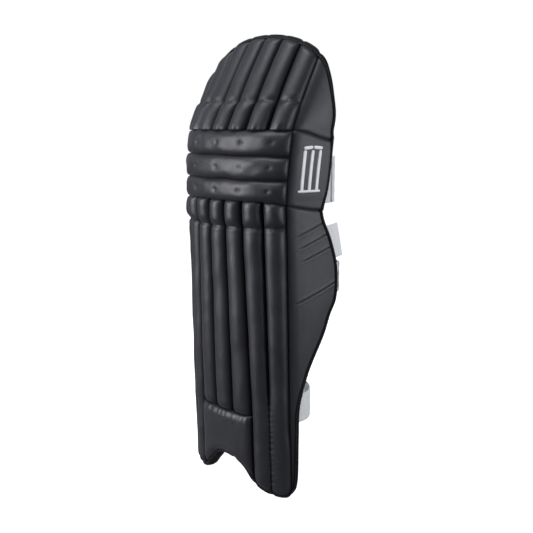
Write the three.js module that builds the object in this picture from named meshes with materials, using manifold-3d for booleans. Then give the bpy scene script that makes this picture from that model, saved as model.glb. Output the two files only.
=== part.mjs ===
// A batting leg guard for the left leg: cane-and-foam shin rolls, three knee rolls, a leaning
// top hat, two side wings, an instep pad, inner bolsters, and three hook-and-loop straps.
//
// Millimetres, +Z up. The front of the guard faces -Y, and the larger outer wing is at +X.
// The origin is the middle of the leg space, level with the lowest edge of the guard.
//
// Nearly every piece is laid out flat first, as a tailor would cut it, and then wrapped round
// the leg: s is the distance along the front, from the centre line towards the outer side,
// z is the height, and n is how far a point stands out of the sewing surface.

import * as THREE from 'three';
import Module from 'manifold-3d';

const wasm = await Module();
wasm.setup();

// ---------------------------------------------------------------- driving dimensions

// Heights
const SHIN_HEIGHT = 453;
const KNEE_ROLL_HEIGHTS = [31, 34, 35];
const TOP_HAT_HEIGHT = 139;
const SHIN_BULGE_HEIGHT = 38;
const TOP_BULGE_HEIGHT = 37;
const INSTEP_PAD_HEIGHT = 127;
const WING_FOOT = 60;
const ARCH_HEIGHT = 51;
const ARCH_HALF_WIDTH = 42;
const ARCH_OFFSET = 5;

// Rolls
const ROLL_COUNT = 7;
const ROLL_PITCH = 32;
const ANKLE_MIDDLE_WIDENING = 4;
const ANKLE_SIDE_NARROWING = 5;
const SHIN_ROLL_DEPTH = 12;
const SHIN_BULGE_DEPTH = 14;
const TOP_ROLL_DEPTH = 10;
const TOP_BULGE_DEPTH = 14;
const KNEE_ROLL_DEPTH = 14;
const INSTEP_PAD_DEPTH = 12;
const SEAM_DEPTH = 2.5;

// Layers, from the leg outwards
const LINING_THICKNESS = 1.8;
const CORE_THICKNESS = 6.5;
const WING_PROUD = 5;
const BOLSTER_DEPTH = 15;
const KNEE_BOLSTER_DEPTH = 13;

// Cane
const CANE_WIDTH = 7;
const CANE_RISE = 4.5;

// Edge binding
const BINDING_WIDTH = 5;
const BINDING_PROUD = 1.2;

// Straps
const STRAP_THICKNESS = 3;
const KNEE_STRAP_WIDTH = 68;
const CALF_STRAP_WIDTH = 46;
const ANKLE_STRAP_WIDTH = 44;
const KNEE_STRAP_RISE = 28;
const CALF_STRAP_DROP = 121;
const ANKLE_STRAP_RISE = 11;
const STRAP_END_SETBACK = 5;
const KNEE_STRAP_SLACK = 84;
const CALF_STRAP_SLACK = 70;
const ANKLE_STRAP_SLACK = 80;
const ANCHOR_LENGTH = 34;
const KNEE_STRAP_LEAD = 14;
const CALF_STRAP_LEAD = 14;
const ANKLE_STRAP_LEAD = 76;
const PATCH_THICKNESS = 1.2;

// Shape of the wrap
const TOP_HAT_LEAN = 0.47;
const TOP_HAT_CURL = 0.00065;
const TOP_HAT_FLATTENING = 0.22;
const SHIN_LEAN = 14;
const KNEE_LEAN = 7;
const CORNER_ARC = 14;
const LEG_CENTRE_DEPTH = 72;

// Clearances
const LAYER_GAP = 0.5;
const SEAM_GAP = 0.35;
const STRAP_GAP = 1.2;
const RIM_GAP = 1.8;
const LINING_INSET = 4;
const HINGE_GAP = 1.6;
const LEAD_GAP = 2.6;

// ---------------------------------------------------------------- derived levels

const FRONT_ARC = 1.5 * ROLL_PITCH;
const SHOULDER_ARC = 2 * ROLL_PITCH;
const FRONT_TURN = THREE.MathUtils.degToRad(12);
const SHOULDER_TURN = THREE.MathUtils.degToRad(38);
const CORNER_TURN = THREE.MathUtils.degToRad(26);
const WING_TURN = THREE.MathUtils.degToRad(12);
const WING_ARC = 110;

const KNEE_SEAMS = [SHIN_HEIGHT];
for (const height of KNEE_ROLL_HEIGHTS) {
  KNEE_SEAMS.push(KNEE_SEAMS.at(-1) + height);
}
const KNEE_TOP = KNEE_SEAMS.at(-1);
const SHIN_CREASE = SHIN_HEIGHT - SHIN_BULGE_HEIGHT;
const SEAM_SHOULDER = SHIN_CREASE - 35;
const TOP_CREASE = KNEE_TOP + TOP_BULGE_HEIGHT;
const HALF_WIDTH = 3.5 * ROLL_PITCH;
const ANKLE_MIDDLE_PITCH = ROLL_PITCH + ANKLE_MIDDLE_WIDENING;
const ANKLE_SIDE_PITCH = ROLL_PITCH - ANKLE_SIDE_NARROWING;
const KNEE_STRAP_LEVEL = SHIN_HEIGHT + KNEE_STRAP_RISE;
const CALF_STRAP_LEVEL = SHIN_HEIGHT - CALF_STRAP_DROP;
const ANKLE_STRAP_LEVEL = INSTEP_PAD_HEIGHT + ANKLE_STRAP_RISE;

const CORE_INNER = -CORE_THICKNESS;
const LINING_OUTER = CORE_INNER - LAYER_GAP;
const LINING_INNER = LINING_OUTER - LINING_THICKNESS;
const BOLSTER_OUTER = LINING_INNER - LAYER_GAP;
const ROLL_INNER = LAYER_GAP;

// ---------------------------------------------------------------- small helpers

const lerp = THREE.MathUtils.lerp;
const clamp = THREE.MathUtils.clamp;

function smooth(t) {
  const u = clamp(t, 0, 1);
  return u * u * (3 - 2 * u);
}

function evenly(count) {
  return Array.from({ length: count + 1 }, (_, i) => i / count);
}

// Height of a round-ended pad at distance t along it, between lo and hi.
function rounded(t, lo, hi, radius) {
  const inset = clamp(Math.min(t - lo, hi - t) / radius, 0, 1);
  return Math.sqrt(1 - (1 - inset) ** 2);
}

// ---------------------------------------------------------------- the sewing surface

// Fore-and-aft position of the front centre line at height z.
function frontLine(z) {
  if (z <= SHIN_HEIGHT) {
    return SHIN_LEAN * (1 - z / SHIN_HEIGHT);
  }
  if (z <= KNEE_TOP) {
    return KNEE_LEAN * ((z - SHIN_HEIGHT) / (KNEE_TOP - SHIN_HEIGHT)) ** 2;
  }
  const rise = z - KNEE_TOP;
  return KNEE_LEAN + TOP_HAT_LEAN * rise + TOP_HAT_CURL * rise * rise;
}

// The guard is a little wider at the ankle opening and at the top hat than under the knee.
function widthFactor(z) {
  if (z <= SHIN_HEIGHT) {
    return lerp(1.045, 0.99, z / SHIN_HEIGHT);
  }
  return lerp(0.99, 1.03, clamp((z - SHIN_HEIGHT) / (KNEE_TOP - SHIN_HEIGHT), 0, 1));
}

// The horizontal section: a flat front, two rounder shoulders, a tight corner at the last
// seam, and an almost straight wing. The top hat opens out a little towards its rim.
function wrap(s, z) {
  const openness = 1 - TOP_HAT_FLATTENING * clamp((z - KNEE_TOP) / TOP_HAT_HEIGHT, 0, 1);
  const arcs = [
    [FRONT_ARC, FRONT_TURN],
    [SHOULDER_ARC, SHOULDER_TURN],
    [CORNER_ARC, CORNER_TURN],
    [WING_ARC, WING_TURN],
  ];
  let rest = Math.abs(s);
  let x = 0;
  let y = 0;
  let angle = 0;
  for (const [length, turn] of arcs) {
    const run = Math.min(rest, length);
    const radius = length / (turn * openness);
    const end = angle + run / radius;
    x += radius * (Math.sin(end) - Math.sin(angle));
    y += radius * (Math.cos(angle) - Math.cos(end));
    angle = end;
    rest -= run;
  }
  x += rest * Math.cos(angle);
  y += rest * Math.sin(angle);
  const side = Math.sign(s) || 1;
  const width = widthFactor(z);
  return { x: side * x * width, y: y * width, angle: side * angle };
}

function place(s, z, n) {
  const { x, y, angle } = wrap(s, z);
  const forward = y + frontLine(z) - n * Math.cos(angle) - LEG_CENTRE_DEPTH;
  return new THREE.Vector3(x + n * Math.sin(angle), forward, z);
}

// ---------------------------------------------------------------- seams and outlines

// Distance of a vertical seam from the centre line. Seams 0 to 3 are counted outwards.
function seam(index, z) {
  const upper = (index + 0.5) * ROLL_PITCH;
  const lower = index < 2
    ? (index + 0.5) * ANKLE_MIDDLE_PITCH
    : 1.5 * ANKLE_MIDDLE_PITCH + (index - 1) * ANKLE_SIDE_PITCH;
  const share = (z - INSTEP_PAD_HEIGHT) / (SEAM_SHOULDER - INSTEP_PAD_HEIGHT);
  return lerp(lower, upper, clamp(share, 0, 1));
}

// Signed position of seam line 0 to 7, counted from the inner side to the outer side.
function seamLine(line, z) {
  const half = ROLL_COUNT / 2;
  return line < half ? -seam(Math.floor(half) - line, z) : seam(line - Math.ceil(half), z);
}

// The seams under and over the knee drop towards the rear edges.
function kneeBottom(s) {
  return KNEE_SEAMS[0] - 14 * smooth((Math.abs(s) - 70) / 100);
}

function kneeTop(s) {
  return KNEE_TOP - 14 * smooth((Math.abs(s) / HALF_WIDTH - 1) / 0.607);
}

function footEdge(s) {
  return ARCH_HEIGHT / (1 + ((s - ARCH_OFFSET) / ARCH_HALF_WIDTH) ** 4);
}

// Rear edges of the shin, as [height as a share of the shin, depth behind the last seam].
const OUTER_SHIN_EDGE = [
  [0.07, 9], [0.22, 12], [0.33, 15], [0.44, 30], [0.555, 57],
  [0.62, 69], [0.68, 82], [0.78, 84], [0.87, 74], [0.935, 62], [0.966, 59],
];
const INNER_SHIN_EDGE = [
  [0.07, 14], [0.16, 30], [0.28, 43], [0.45, 48], [0.62, 51],
  [0.78, 51], [0.88, 48], [0.966, 44],
];

// The knee's rear edges, as [height as a share of the knee, depth behind the last seam].
const OUTER_KNEE_EDGE = [[-0.12, 61], [0.15, 68], [0.5, 69], [0.88, 67]];
const INNER_KNEE_EDGE = [[-0.08, 45], [0.2, 48], [0.5, 49], [0.9, 46]];

// Rim of the top hat, as [share of the half width, share of the height], outer to inner.
const TOP_HAT_RIM = [
  [1.585, -0.045], [1.52, 0.15], [1.38, 0.36], [1.23, 0.56], [1.05, 0.745], [0.83, 0.87],
  [0.5, 0.965], [0.1, 1], [-0.29, 0.965], [-0.55, 0.86], [-0.78, 0.71], [-0.98, 0.5],
  [-1.18, 0.25], [-1.33, 0.0],
];

function spline(points, steps) {
  const curve = new THREE.SplineCurve(points.map(([s, z]) => new THREE.Vector2(s, z)));
  return curve.getPoints(steps);
}

function shinSide(edge, side) {
  return edge.map(([share, depth]) => {
    const z = share * SHIN_HEIGHT;
    return [side * (seam(3, z) + depth), z];
  });
}

function shinRim() {
  const outer = shinSide(OUTER_SHIN_EDGE, 1).reverse();
  const inner = shinSide(INNER_SHIN_EDGE, -1);
  const corner = seam(3, 0);
  const foot = [0.93, 0.72, 0.5, 0.32, 0.12, -0.1, -0.3, -0.5, -0.72, -0.93]
    .map((share) => [share * corner, footEdge(share * corner)]);
  return [...spline([...outer, [corner + 3, 10], ...foot, [-corner - 3, 10], ...inner], 96)];
}

function kneeRim(edge, side) {
  const height = KNEE_TOP - SHIN_HEIGHT;
  return spline(edge.map(([share, depth]) => [
    side * (HALF_WIDTH + depth),
    SHIN_HEIGHT + share * height,
  ]), 8);
}

function topHatRim() {
  return spline(TOP_HAT_RIM.map(([share, rise]) => [
    share * HALF_WIDTH,
    KNEE_TOP + rise * TOP_HAT_HEIGHT,
  ]), 44);
}

// A rim moved inwards by a distance. The rims run from the outer side to the inner side, so
// the inside of the guard is on the right hand of the shin rim and the left of the others.
function inset(rim, distance) {
  return rim.map((point, i) => {
    const before = rim[Math.max(i - 1, 0)];
    const after = rim[Math.min(i + 1, rim.length - 1)];
    const along = after.clone().sub(before).normalize();
    return new THREE.Vector2(point.x - along.y * distance, point.y + along.x * distance);
  });
}

// Value of one coordinate of a rim where the other has a given value.
function crossing(rim, known, value, pick) {
  const wanted = known === 'x' ? 'y' : 'x';
  const found = [];
  for (let i = 0; i + 1 < rim.length; i += 1) {
    const a = rim[i];
    const b = rim[i + 1];
    if ((a[known] - value) * (b[known] - value) <= 0 && a[known] !== b[known]) {
      found.push(lerp(a[wanted], b[wanted], (value - a[known]) / (b[known] - a[known])));
    }
  }
  if (found.length > 0) {
    return pick(...found);
  }
  const nearest = Math.abs(rim[0][known] - value) < Math.abs(rim.at(-1)[known] - value);
  return nearest ? rim[0][wanted] : rim.at(-1)[wanted];
}

const SHIN_RIM = shinRim();
const OUTER_KNEE_RIM = kneeRim(OUTER_KNEE_EDGE, 1);
const INNER_KNEE_RIM = kneeRim(INNER_KNEE_EDGE, -1).reverse();
const RIM_ROOM = BINDING_WIDTH + RIM_GAP;
const SHIN_CUT = inset(SHIN_RIM, -RIM_ROOM);
const TOP_RIM = topHatRim();
const TOP_CUT = inset(TOP_RIM, RIM_ROOM);

function shinEdge(side, z) {
  const half = SHIN_CUT.filter((point) => point.x * side > HALF_WIDTH / 2);
  return crossing(half, 'y', z, side > 0 ? Math.max : Math.min);
}

function shinFoot(s) {
  const reach = seam(3, 0) - BINDING_WIDTH;
  const low = SHIN_CUT.filter((point) => point.y < ARCH_HEIGHT + 2 * BINDING_WIDTH);
  return crossing(low, 'x', clamp(s, -reach, reach), Math.min);
}

// The outermost seam, kept inside the rounded corners of the foot.
function sideSeam(side, z) {
  return side * Math.min(seam(3, z), Math.abs(shinEdge(side, z)));
}

function kneeEdge(side, z) {
  const rim = side > 0 ? OUTER_KNEE_RIM : INNER_KNEE_RIM;
  return crossing(rim, 'y', z, side > 0 ? Math.max : Math.min) - side * RIM_ROOM;
}

function topEdge(s) {
  return crossing(TOP_CUT, 'x', s, Math.max);
}

function topSide(side, z) {
  const half = TOP_CUT.filter((point) => point.x * side > 0);
  return crossing(half, 'y', z, side > 0 ? Math.max : Math.min);
}

// ---------------------------------------------------------------- solids

function solid(positions, triangles) {
  const geometry = new THREE.BufferGeometry();
  geometry.setAttribute('position', new THREE.Float32BufferAttribute(positions, 3));
  geometry.setIndex(triangles);
  geometry.computeVertexNormals();
  return geometry;
}

// A sewn piece: a grid of columns (across) and rows (up) with an inner and an outer face.
//   across   list of functions of z that give each column's s
//   low,high functions of s for the lower and upper edges
//   rows     shares of the height
//   inner,outer  functions (s, z, column share, row share) that give n
function sewn({ across, low, high, rows, inner, outer }) {
  const columns = across.length;
  const positions = [];
  const last = columns - 1;
  const middleLow = low(across[Math.floor(last / 2)](SHIN_HEIGHT));
  const middleHigh = high(across[Math.floor(last / 2)](SHIN_HEIGHT));
  for (const face of [outer, inner]) {
    for (const row of rows) {
      across.forEach((column, i) => {
        let z = lerp(middleLow, middleHigh, row);
        let s = column(z);
        for (let pass = 0; pass < 3; pass += 1) {
          z = lerp(low(s), high(s), row);
          s = column(z);
        }
        positions.push(...place(s, z, face(s, z, i / last, row)));
      });
    }
  }
  const perFace = columns * rows.length;
  const at = (i, j, face) => face * perFace + j * columns + i;
  const triangles = [];
  for (let j = 0; j + 1 < rows.length; j += 1) {
    for (let i = 0; i < last; i += 1) {
      triangles.push(at(i, j, 0), at(i + 1, j, 0), at(i + 1, j + 1, 0));
      triangles.push(at(i, j, 0), at(i + 1, j + 1, 0), at(i, j + 1, 0));
      triangles.push(at(i, j, 1), at(i + 1, j + 1, 1), at(i + 1, j, 1));
      triangles.push(at(i, j, 1), at(i, j + 1, 1), at(i + 1, j + 1, 1));
    }
  }
  const border = [];
  for (let i = 0; i < last; i += 1) border.push([i, 0]);
  for (let j = 0; j < rows.length - 1; j += 1) border.push([last, j]);
  for (let i = last; i > 0; i -= 1) border.push([i, rows.length - 1]);
  for (let j = rows.length - 1; j > 0; j -= 1) border.push([0, j]);
  border.forEach(([i, j], k) => {
    const [u, v] = border[(k + 1) % border.length];
    triangles.push(at(i, j, 0), at(i, j, 1), at(u, v, 1));
    triangles.push(at(i, j, 0), at(u, v, 1), at(u, v, 0));
  });
  return solid(positions, triangles);
}

// A solid through a row of four-cornered sections.
function lofted(sections) {
  const positions = sections.flat().flatMap((corner) => corner.toArray());
  const triangles = [];
  const last = (sections.length - 1) * 4;
  for (let k = 0; k + 1 < sections.length; k += 1) {
    for (let c = 0; c < 4; c += 1) {
      const a = k * 4 + c;
      const b = k * 4 + (c + 1) % 4;
      triangles.push(a, b, b + 4, a, b + 4, a + 4);
    }
  }
  triangles.push(0, 2, 1, 0, 3, 2);
  triangles.push(last, last + 1, last + 2, last, last + 2, last + 3);
  return solid(positions, triangles);
}

// The folded tape along a rim, from just outside the layers to just inside them.
function binding(rim, inwards) {
  const outerN = WING_PROUD + BINDING_PROUD;
  const innerN = LINING_INNER - BINDING_PROUD;
  const inside = inset(rim, inwards * BINDING_WIDTH);
  return lofted(rim.map((point, i) => {
    const corners = [
      place(point.x, point.y, outerN),
      place(inside[i].x, inside[i].y, outerN),
      place(inside[i].x, inside[i].y, innerN),
      place(point.x, point.y, innerN),
    ];
    return inwards > 0 ? corners.reverse() : corners;
  }));
}

function joined(geometries) {
  let whole = null;
  for (const geometry of geometries) {
    const mesh = new wasm.Mesh({
      numProp: 3,
      vertProperties: new Float32Array(geometry.attributes.position.array),
      triVerts: new Uint32Array(geometry.index.array),
    });
    const next = new wasm.Manifold(mesh);
    whole = whole ? whole.add(next) : next;
  }
  const { vertProperties, triVerts } = whole.getMesh();
  return solid(Array.from(vertProperties), Array.from(triVerts));
}

// ---------------------------------------------------------------- materials

const FINISHES = {
  cover: { color: 0x1c1d20, roughness: 0.5 },
  panel: { color: 0x222326, roughness: 0.55 },
  binding: { color: 0x0f0f11, roughness: 0.6 },
  foam: { color: 0x8d8f92, roughness: 0.9 },
  lining: { color: 0xe8e8e4, roughness: 0.85 },
  cane: { color: 0xc9a566, roughness: 0.6 },
  webbing: { color: 0xf2f2ee, roughness: 0.8 },
  loop: { color: 0x2a2a2c, roughness: 1 },
  badge: { color: 0xf5f5f2, roughness: 0.45 },
  label: { color: 0xf7f7f4, roughness: 0.7 },
};

function piece(name, finish, geometry) {
  const material = new THREE.MeshStandardMaterial({ ...FINISHES[finish], metalness: 0 });
  material.name = finish;
  const mesh = new THREE.Mesh(geometry, material);
  mesh.name = name;
  return mesh;
}

// ---------------------------------------------------------------- columns shared by layers

const WING_SHARES = [0, 0.07, 0.15, 0.24, 0.4, 0.6, 0.8, 1];

function between(from, to, shares) {
  return shares.map((share) => (z) => lerp(from(z), to(z), share));
}

function coreColumns(count) {
  return between(
    (z) => sideSeam(-1, z) + SEAM_GAP,
    (z) => sideSeam(1, z) - SEAM_GAP,
    evenly(count),
  );
}

// Columns from one rear edge to the other, dense where the section turns the corner.
function fullColumns(innerEdge, outerEdge, count) {
  const innerSeam = (z) => Math.max(-seam(3, z), innerEdge(z) + 1);
  const outerSeam = (z) => Math.min(seam(3, z), outerEdge(z) - 1);
  const innerWing = between(innerSeam, innerEdge, WING_SHARES).reverse();
  const outerWing = between(outerSeam, outerEdge, WING_SHARES);
  const middle = between(innerSeam, outerSeam, evenly(count)).slice(1, -1);
  return [...innerWing, ...middle, ...outerWing];
}

// ---------------------------------------------------------------- shin

function shinCore() {
  return sewn({
    across: coreColumns(20),
    low: shinFoot,
    high: (s) => kneeBottom(s) - SEAM_GAP,
    rows: evenly(3),
    inner: () => CORE_INNER,
    outer: () => 0,
  });
}

const LINING_ROWS = [0, 0.1, 0.2, 0.3, 0.38, 0.46, 0.55, 0.68, 0.84, 1];

function shinLining() {
  return sewn({
    across: fullColumns((z) => shinEdge(-1, z) + LINING_INSET, (z) => shinEdge(1, z) - LINING_INSET, 14),
    low: shinFoot,
    high: (s) => kneeBottom(s) - SEAM_GAP,
    rows: LINING_ROWS,
    inner: () => LINING_INNER,
    outer: () => LINING_OUTER,
  });
}

// The stuffed tube between two seams. A groove in its back holds the cane.
const GROOVE_HALF = CANE_WIDTH / 2 + 1.3;
const GROOVE_FLOOR = CANE_WIDTH / 2 - 0.8;
const CANE_MARGIN = 16;

function rollBase(roll) {
  const middle = Math.abs(roll - (ROLL_COUNT + 1) / 2) < 2;
  return middle ? () => INSTEP_PAD_HEIGHT + SEAM_GAP : shinFoot;
}

// Levels along a cane: its two ends and the bends of the seams between them.
function caneLevels(start, stop) {
  const bends = [INSTEP_PAD_HEIGHT, lerp(INSTEP_PAD_HEIGHT, SEAM_SHOULDER, 0.5), SEAM_SHOULDER];
  return [start, ...bends.filter((z) => z > start + 6 && z < stop - 6), stop];
}

// Height of a round section, from 0 at one edge to 1 in the middle and 0 at the other edge.
function crown(share) {
  return Math.sqrt(Math.max(0, 1 - (2 * share - 1) ** 2));
}

function shinRoll(roll) {
  const low = rollBase(roll);
  const centre = (z) => (seamLine(roll - 1, z) + seamLine(roll, z)) / 2;
  const start = low(centre(0)) + CANE_MARGIN - 4;
  const stop = SHIN_CREASE - CANE_MARGIN + 4;
  const top = SHIN_HEIGHT - SEAM_GAP;
  const base = low(centre(0));
  const levels = [base, base + 5, ...caneLevels(start, stop),
    SHIN_CREASE, SHIN_CREASE + 8, SHIN_CREASE + 20, top - 7, top];
  const depth = (z) => {
    if (z > SHIN_CREASE) {
      const plump = rounded(z, SHIN_CREASE, SHIN_HEIGHT, SHIN_BULGE_HEIGHT / 2);
      return lerp(SEAM_DEPTH, SHIN_BULGE_DEPTH, plump);
    }
    return lerp(SEAM_DEPTH + 1, SHIN_ROLL_DEPTH, rounded(z, base, SHIN_CREASE, 14));
  };
  const half = (z) => (seamLine(roll, z) - seamLine(roll - 1, z)) / 2 - SEAM_GAP;
  const inFoot = (s, z) => clamp(s, sideSeam(-1, z) + SEAM_GAP, sideSeam(1, z) - SEAM_GAP);
  const offsets = [
    (z) => -half(z),
    (z) => -0.72 * half(z),
    () => -GROOVE_HALF,
    () => -GROOVE_FLOOR,
    () => 0,
    () => GROOVE_FLOOR,
    () => GROOVE_HALF,
    (z) => 0.72 * half(z),
    (z) => half(z),
  ];
  const groove = (reach, level) => {
    const beside = reach > (GROOVE_FLOOR + GROOVE_HALF) / 2;
    const beyond = level < start - 0.01 || level > stop + 0.01;
    if (beside || beyond) return 0;
    return (CANE_RISE + LAYER_GAP) * (reach > GROOVE_FLOOR / 2 ? 0.86 : 1);
  };
  return sewn({
    across: offsets.map((offset) => (z) => inFoot(centre(z) + offset(z), z)),
    low,
    high: (s) => Math.min(top, kneeBottom(s) - SEAM_GAP),
    rows: levels.map((z) => (z - base) / (top - base)),
    inner: (s, z, share, row) => {
      return ROLL_INNER + groove(Math.abs(s - centre(z)), lerp(base, top, row));
    },
    outer: (s, z, share, row) => {
      const across = 0.5 + (s - centre(z)) / (2 * half(z));
      return ROLL_INNER + 0.8 + depth(lerp(base, top, row)) * crown(across);
    },
  });
}

// A split cane: flat at the back and rounded at the front.
function shinCane(roll) {
  const low = rollBase(roll);
  const centre = (z) => (seamLine(roll - 1, z) + seamLine(roll, z)) / 2;
  const base = low(centre(0)) + CANE_MARGIN;
  const top = SHIN_CREASE - CANE_MARGIN;
  const profile = [0.35, 0.92, 0.92, 0.35];
  return sewn({
    across: between(
      (z) => centre(z) - CANE_WIDTH / 2,
      (z) => centre(z) + CANE_WIDTH / 2,
      [0, 0.3, 0.7, 1],
    ),
    low: () => base,
    high: () => top,
    rows: caneLevels(base, top).map((z) => (z - base) / (top - base)),
    inner: () => ROLL_INNER,
    outer: (s, z, share) => ROLL_INNER + CANE_RISE * profile[Math.round(share * 3)],
  });
}

const WING_ROWS = [0, 0.15, 0.24, 0.3, 0.36, 0.42, 0.48, 0.54, 0.6, 0.66, 0.72, 0.79, 0.86, 0.93, 1];

function shinWing(side) {
  const seamSide = (z) => side * (seam(3, z) + SEAM_GAP);
  const rearSide = (z) => shinEdge(side, z);
  const across = between(seamSide, rearSide, WING_SHARES);
  return sewn({
    across: side > 0 ? across : across.reverse(),
    low: () => WING_FOOT,
    high: (s) => kneeBottom(s) - SEAM_GAP,
    rows: WING_ROWS,
    inner: () => CORE_INNER,
    outer: () => WING_PROUD,
  });
}

function instepPad() {
  const half = seam(1, 0) - SEAM_GAP;
  const shares = evenly(12);
  return sewn({
    across: between(() => -half, () => half, shares),
    low: shinFoot,
    high: () => INSTEP_PAD_HEIGHT - SEAM_GAP,
    rows: [0, 0.08, 0.25, 0.6, 0.9, 1],
    inner: () => ROLL_INNER,
    outer: (s, z, share, row) => {
      const plump = rounded(s, -half, half, 16) * rounded(row, 0, 1, 0.2);
      return ROLL_INNER + 0.8 + lerp(SEAM_DEPTH, INSTEP_PAD_DEPTH, plump);
    },
  });
}

// A soft bolster stitched to the lining on one side of the leg.
function bolster(side, near, far, bottom, top, depth) {
  const across = between(() => side * near, () => side * far, evenly(6));
  return sewn({
    across: side > 0 ? across : across.reverse(),
    low: () => bottom,
    high: () => top,
    rows: [0, 0.05, 0.2, 0.8, 0.95, 1],
    outer: () => BOLSTER_OUTER,
    inner: (s, z) => {
      const plump = rounded(Math.abs(s), near, far, (far - near) / 2)
        * rounded(z, bottom, top, 18);
      return BOLSTER_OUTER - 1.5 - (depth - 1.5) * plump;
    },
  });
}

function shinBolster(side) {
  return bolster(side, HALF_WIDTH - 82, HALF_WIDTH - 36, INSTEP_PAD_HEIGHT + 25, SHIN_CREASE - 12,
    BOLSTER_DEPTH);
}

function kneeBolster(side) {
  return bolster(side, HALF_WIDTH - 74, HALF_WIDTH - 14, SHIN_HEIGHT + 8, KNEE_TOP - 10,
    KNEE_BOLSTER_DEPTH);
}

// A loop patch, label, badge or strap anchor that lies flat on a face between two heights.
function flat(from, to, bottom, top, faceN, thickness, count = 4) {
  const start = Math.min(from, to);
  const end = Math.max(from, to);
  return sewn({
    across: between(() => start, () => end, evenly(count)),
    low: () => bottom,
    high: () => top,
    rows: evenly(3),
    inner: () => Math.min(faceN, faceN + thickness),
    outer: () => Math.max(faceN, faceN + thickness),
  });
}

// A blank label caught in the outer rear seam, between the knee and calf straps.
const LABEL_TOP = SHIN_HEIGHT - 37;
const LABEL_BOTTOM = LABEL_TOP - 54;
const LABEL_TAIL = 30;
const LABEL_TUCK = 10;

function careLabel() {
  const rear = shinEdge(1, (LABEL_BOTTOM + LABEL_TOP) / 2) + RIM_ROOM;
  const face = LINING_INNER - BINDING_PROUD - LAYER_GAP;
  return flat(rear - LABEL_TUCK, rear + LABEL_TAIL, LABEL_BOTTOM, LABEL_TOP, face, -0.8);
}

// ---------------------------------------------------------------- knee

function kneeCore() {
  return sewn({
    across: coreColumns(16),
    low: (s) => kneeBottom(s) + SEAM_GAP,
    high: (s) => kneeTop(s) - SEAM_GAP,
    rows: evenly(4),
    inner: () => CORE_INNER,
    outer: () => 0,
  });
}

function kneeLining() {
  return sewn({
    across: fullColumns((z) => kneeEdge(-1, z) + LINING_INSET, (z) => kneeEdge(1, z) - LINING_INSET, 14),
    low: (s) => kneeBottom(s) + SEAM_GAP,
    high: (s) => kneeTop(s) - SEAM_GAP,
    rows: evenly(4),
    inner: () => LINING_INNER,
    outer: () => LINING_OUTER,
  });
}

// One of the three padded rolls that run across the knee.
function kneeRoll(index) {
  const first = index === 0;
  const low = (s) => (first ? kneeBottom(s) : KNEE_SEAMS[index]) + SEAM_GAP;
  const high = () => KNEE_SEAMS[index + 1] - SEAM_GAP;
  const end = HALF_WIDTH - SEAM_GAP;
  return sewn({
    across: between(() => -end, () => end, [0, 0.03, ...evenly(14).slice(1, -1), 0.97, 1]),
    low,
    high,
    rows: [0, 0.1, 0.3, 0.5, 0.7, 0.9, 1],
    inner: () => ROLL_INNER,
    outer: (s, z, share, row) => {
      const plump = crown(row) * lerp(0.45, 1, rounded(s, -end, end, 22));
      return ROLL_INNER + 0.8 + KNEE_ROLL_DEPTH * plump;
    },
  });
}

function kneePanel(side) {
  const across = between(
    () => side * (HALF_WIDTH + SEAM_GAP),
    (z) => kneeEdge(side, z),
    WING_SHARES,
  );
  return sewn({
    across: side > 0 ? across : across.reverse(),
    low: (s) => kneeBottom(s) + SEAM_GAP,
    high: (s) => kneeTop(s) - SEAM_GAP,
    rows: evenly(6),
    inner: () => CORE_INNER,
    outer: () => WING_PROUD,
  });
}

// A plain wicket: three stumps under a pair of bails, on a short ground line.
const BADGE_CENTRE = 33;
const BADGE_WIDTH = 30;
const BADGE_HEIGHT = 66;
const BADGE_BAR = 5;
const BADGE_THICKNESS = 1;

function wicketBadge() {
  const middle = HALF_WIDTH + BADGE_CENTRE;
  const bottom = (KNEE_SEAMS[0] + KNEE_TOP - BADGE_HEIGHT) / 2 - 4;
  const top = bottom + BADGE_HEIGHT;
  const face = WING_PROUD + SEAM_GAP;
  const half = BADGE_WIDTH / 2;
  const bars = [-1, 0, 1].map((column) => {
    const centre = middle + column * (half - BADGE_BAR / 2);
    return flat(centre - BADGE_BAR / 2, centre + BADGE_BAR / 2, bottom + 1, top - 1, face,
      BADGE_THICKNESS, 1);
  });
  const bails = flat(middle - half - 1, middle + half + 1, top - BADGE_BAR, top, face,
    BADGE_THICKNESS + 0.2, 4);
  const ground = flat(middle - half - 4, middle + half + 4, bottom, bottom + BADGE_BAR * 0.7, face,
    BADGE_THICKNESS + 0.2, 4);
  return joined([...bars, bails, ground]);
}

// ---------------------------------------------------------------- top hat

function topHatCore() {
  return sewn({
    across: coreColumns(16),
    low: () => KNEE_TOP + SEAM_GAP,
    high: topEdge,
    rows: evenly(6),
    inner: () => CORE_INNER,
    outer: () => 0,
  });
}

// The lowest part of the rim is nearly upright, so the side columns stop a little short of it.
function topHatReach(side) {
  return topSide(side, KNEE_TOP + 0.06 * TOP_HAT_HEIGHT);
}

function topHatLining() {
  return sewn({
    across: fullColumns(() => topHatReach(-1) + LINING_INSET, () => topHatReach(1) - LINING_INSET, 14),
    low: (s) => kneeTop(s) + SEAM_GAP,
    high: topEdge,
    rows: evenly(6),
    inner: () => LINING_INNER,
    outer: () => LINING_OUTER,
  });
}

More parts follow.
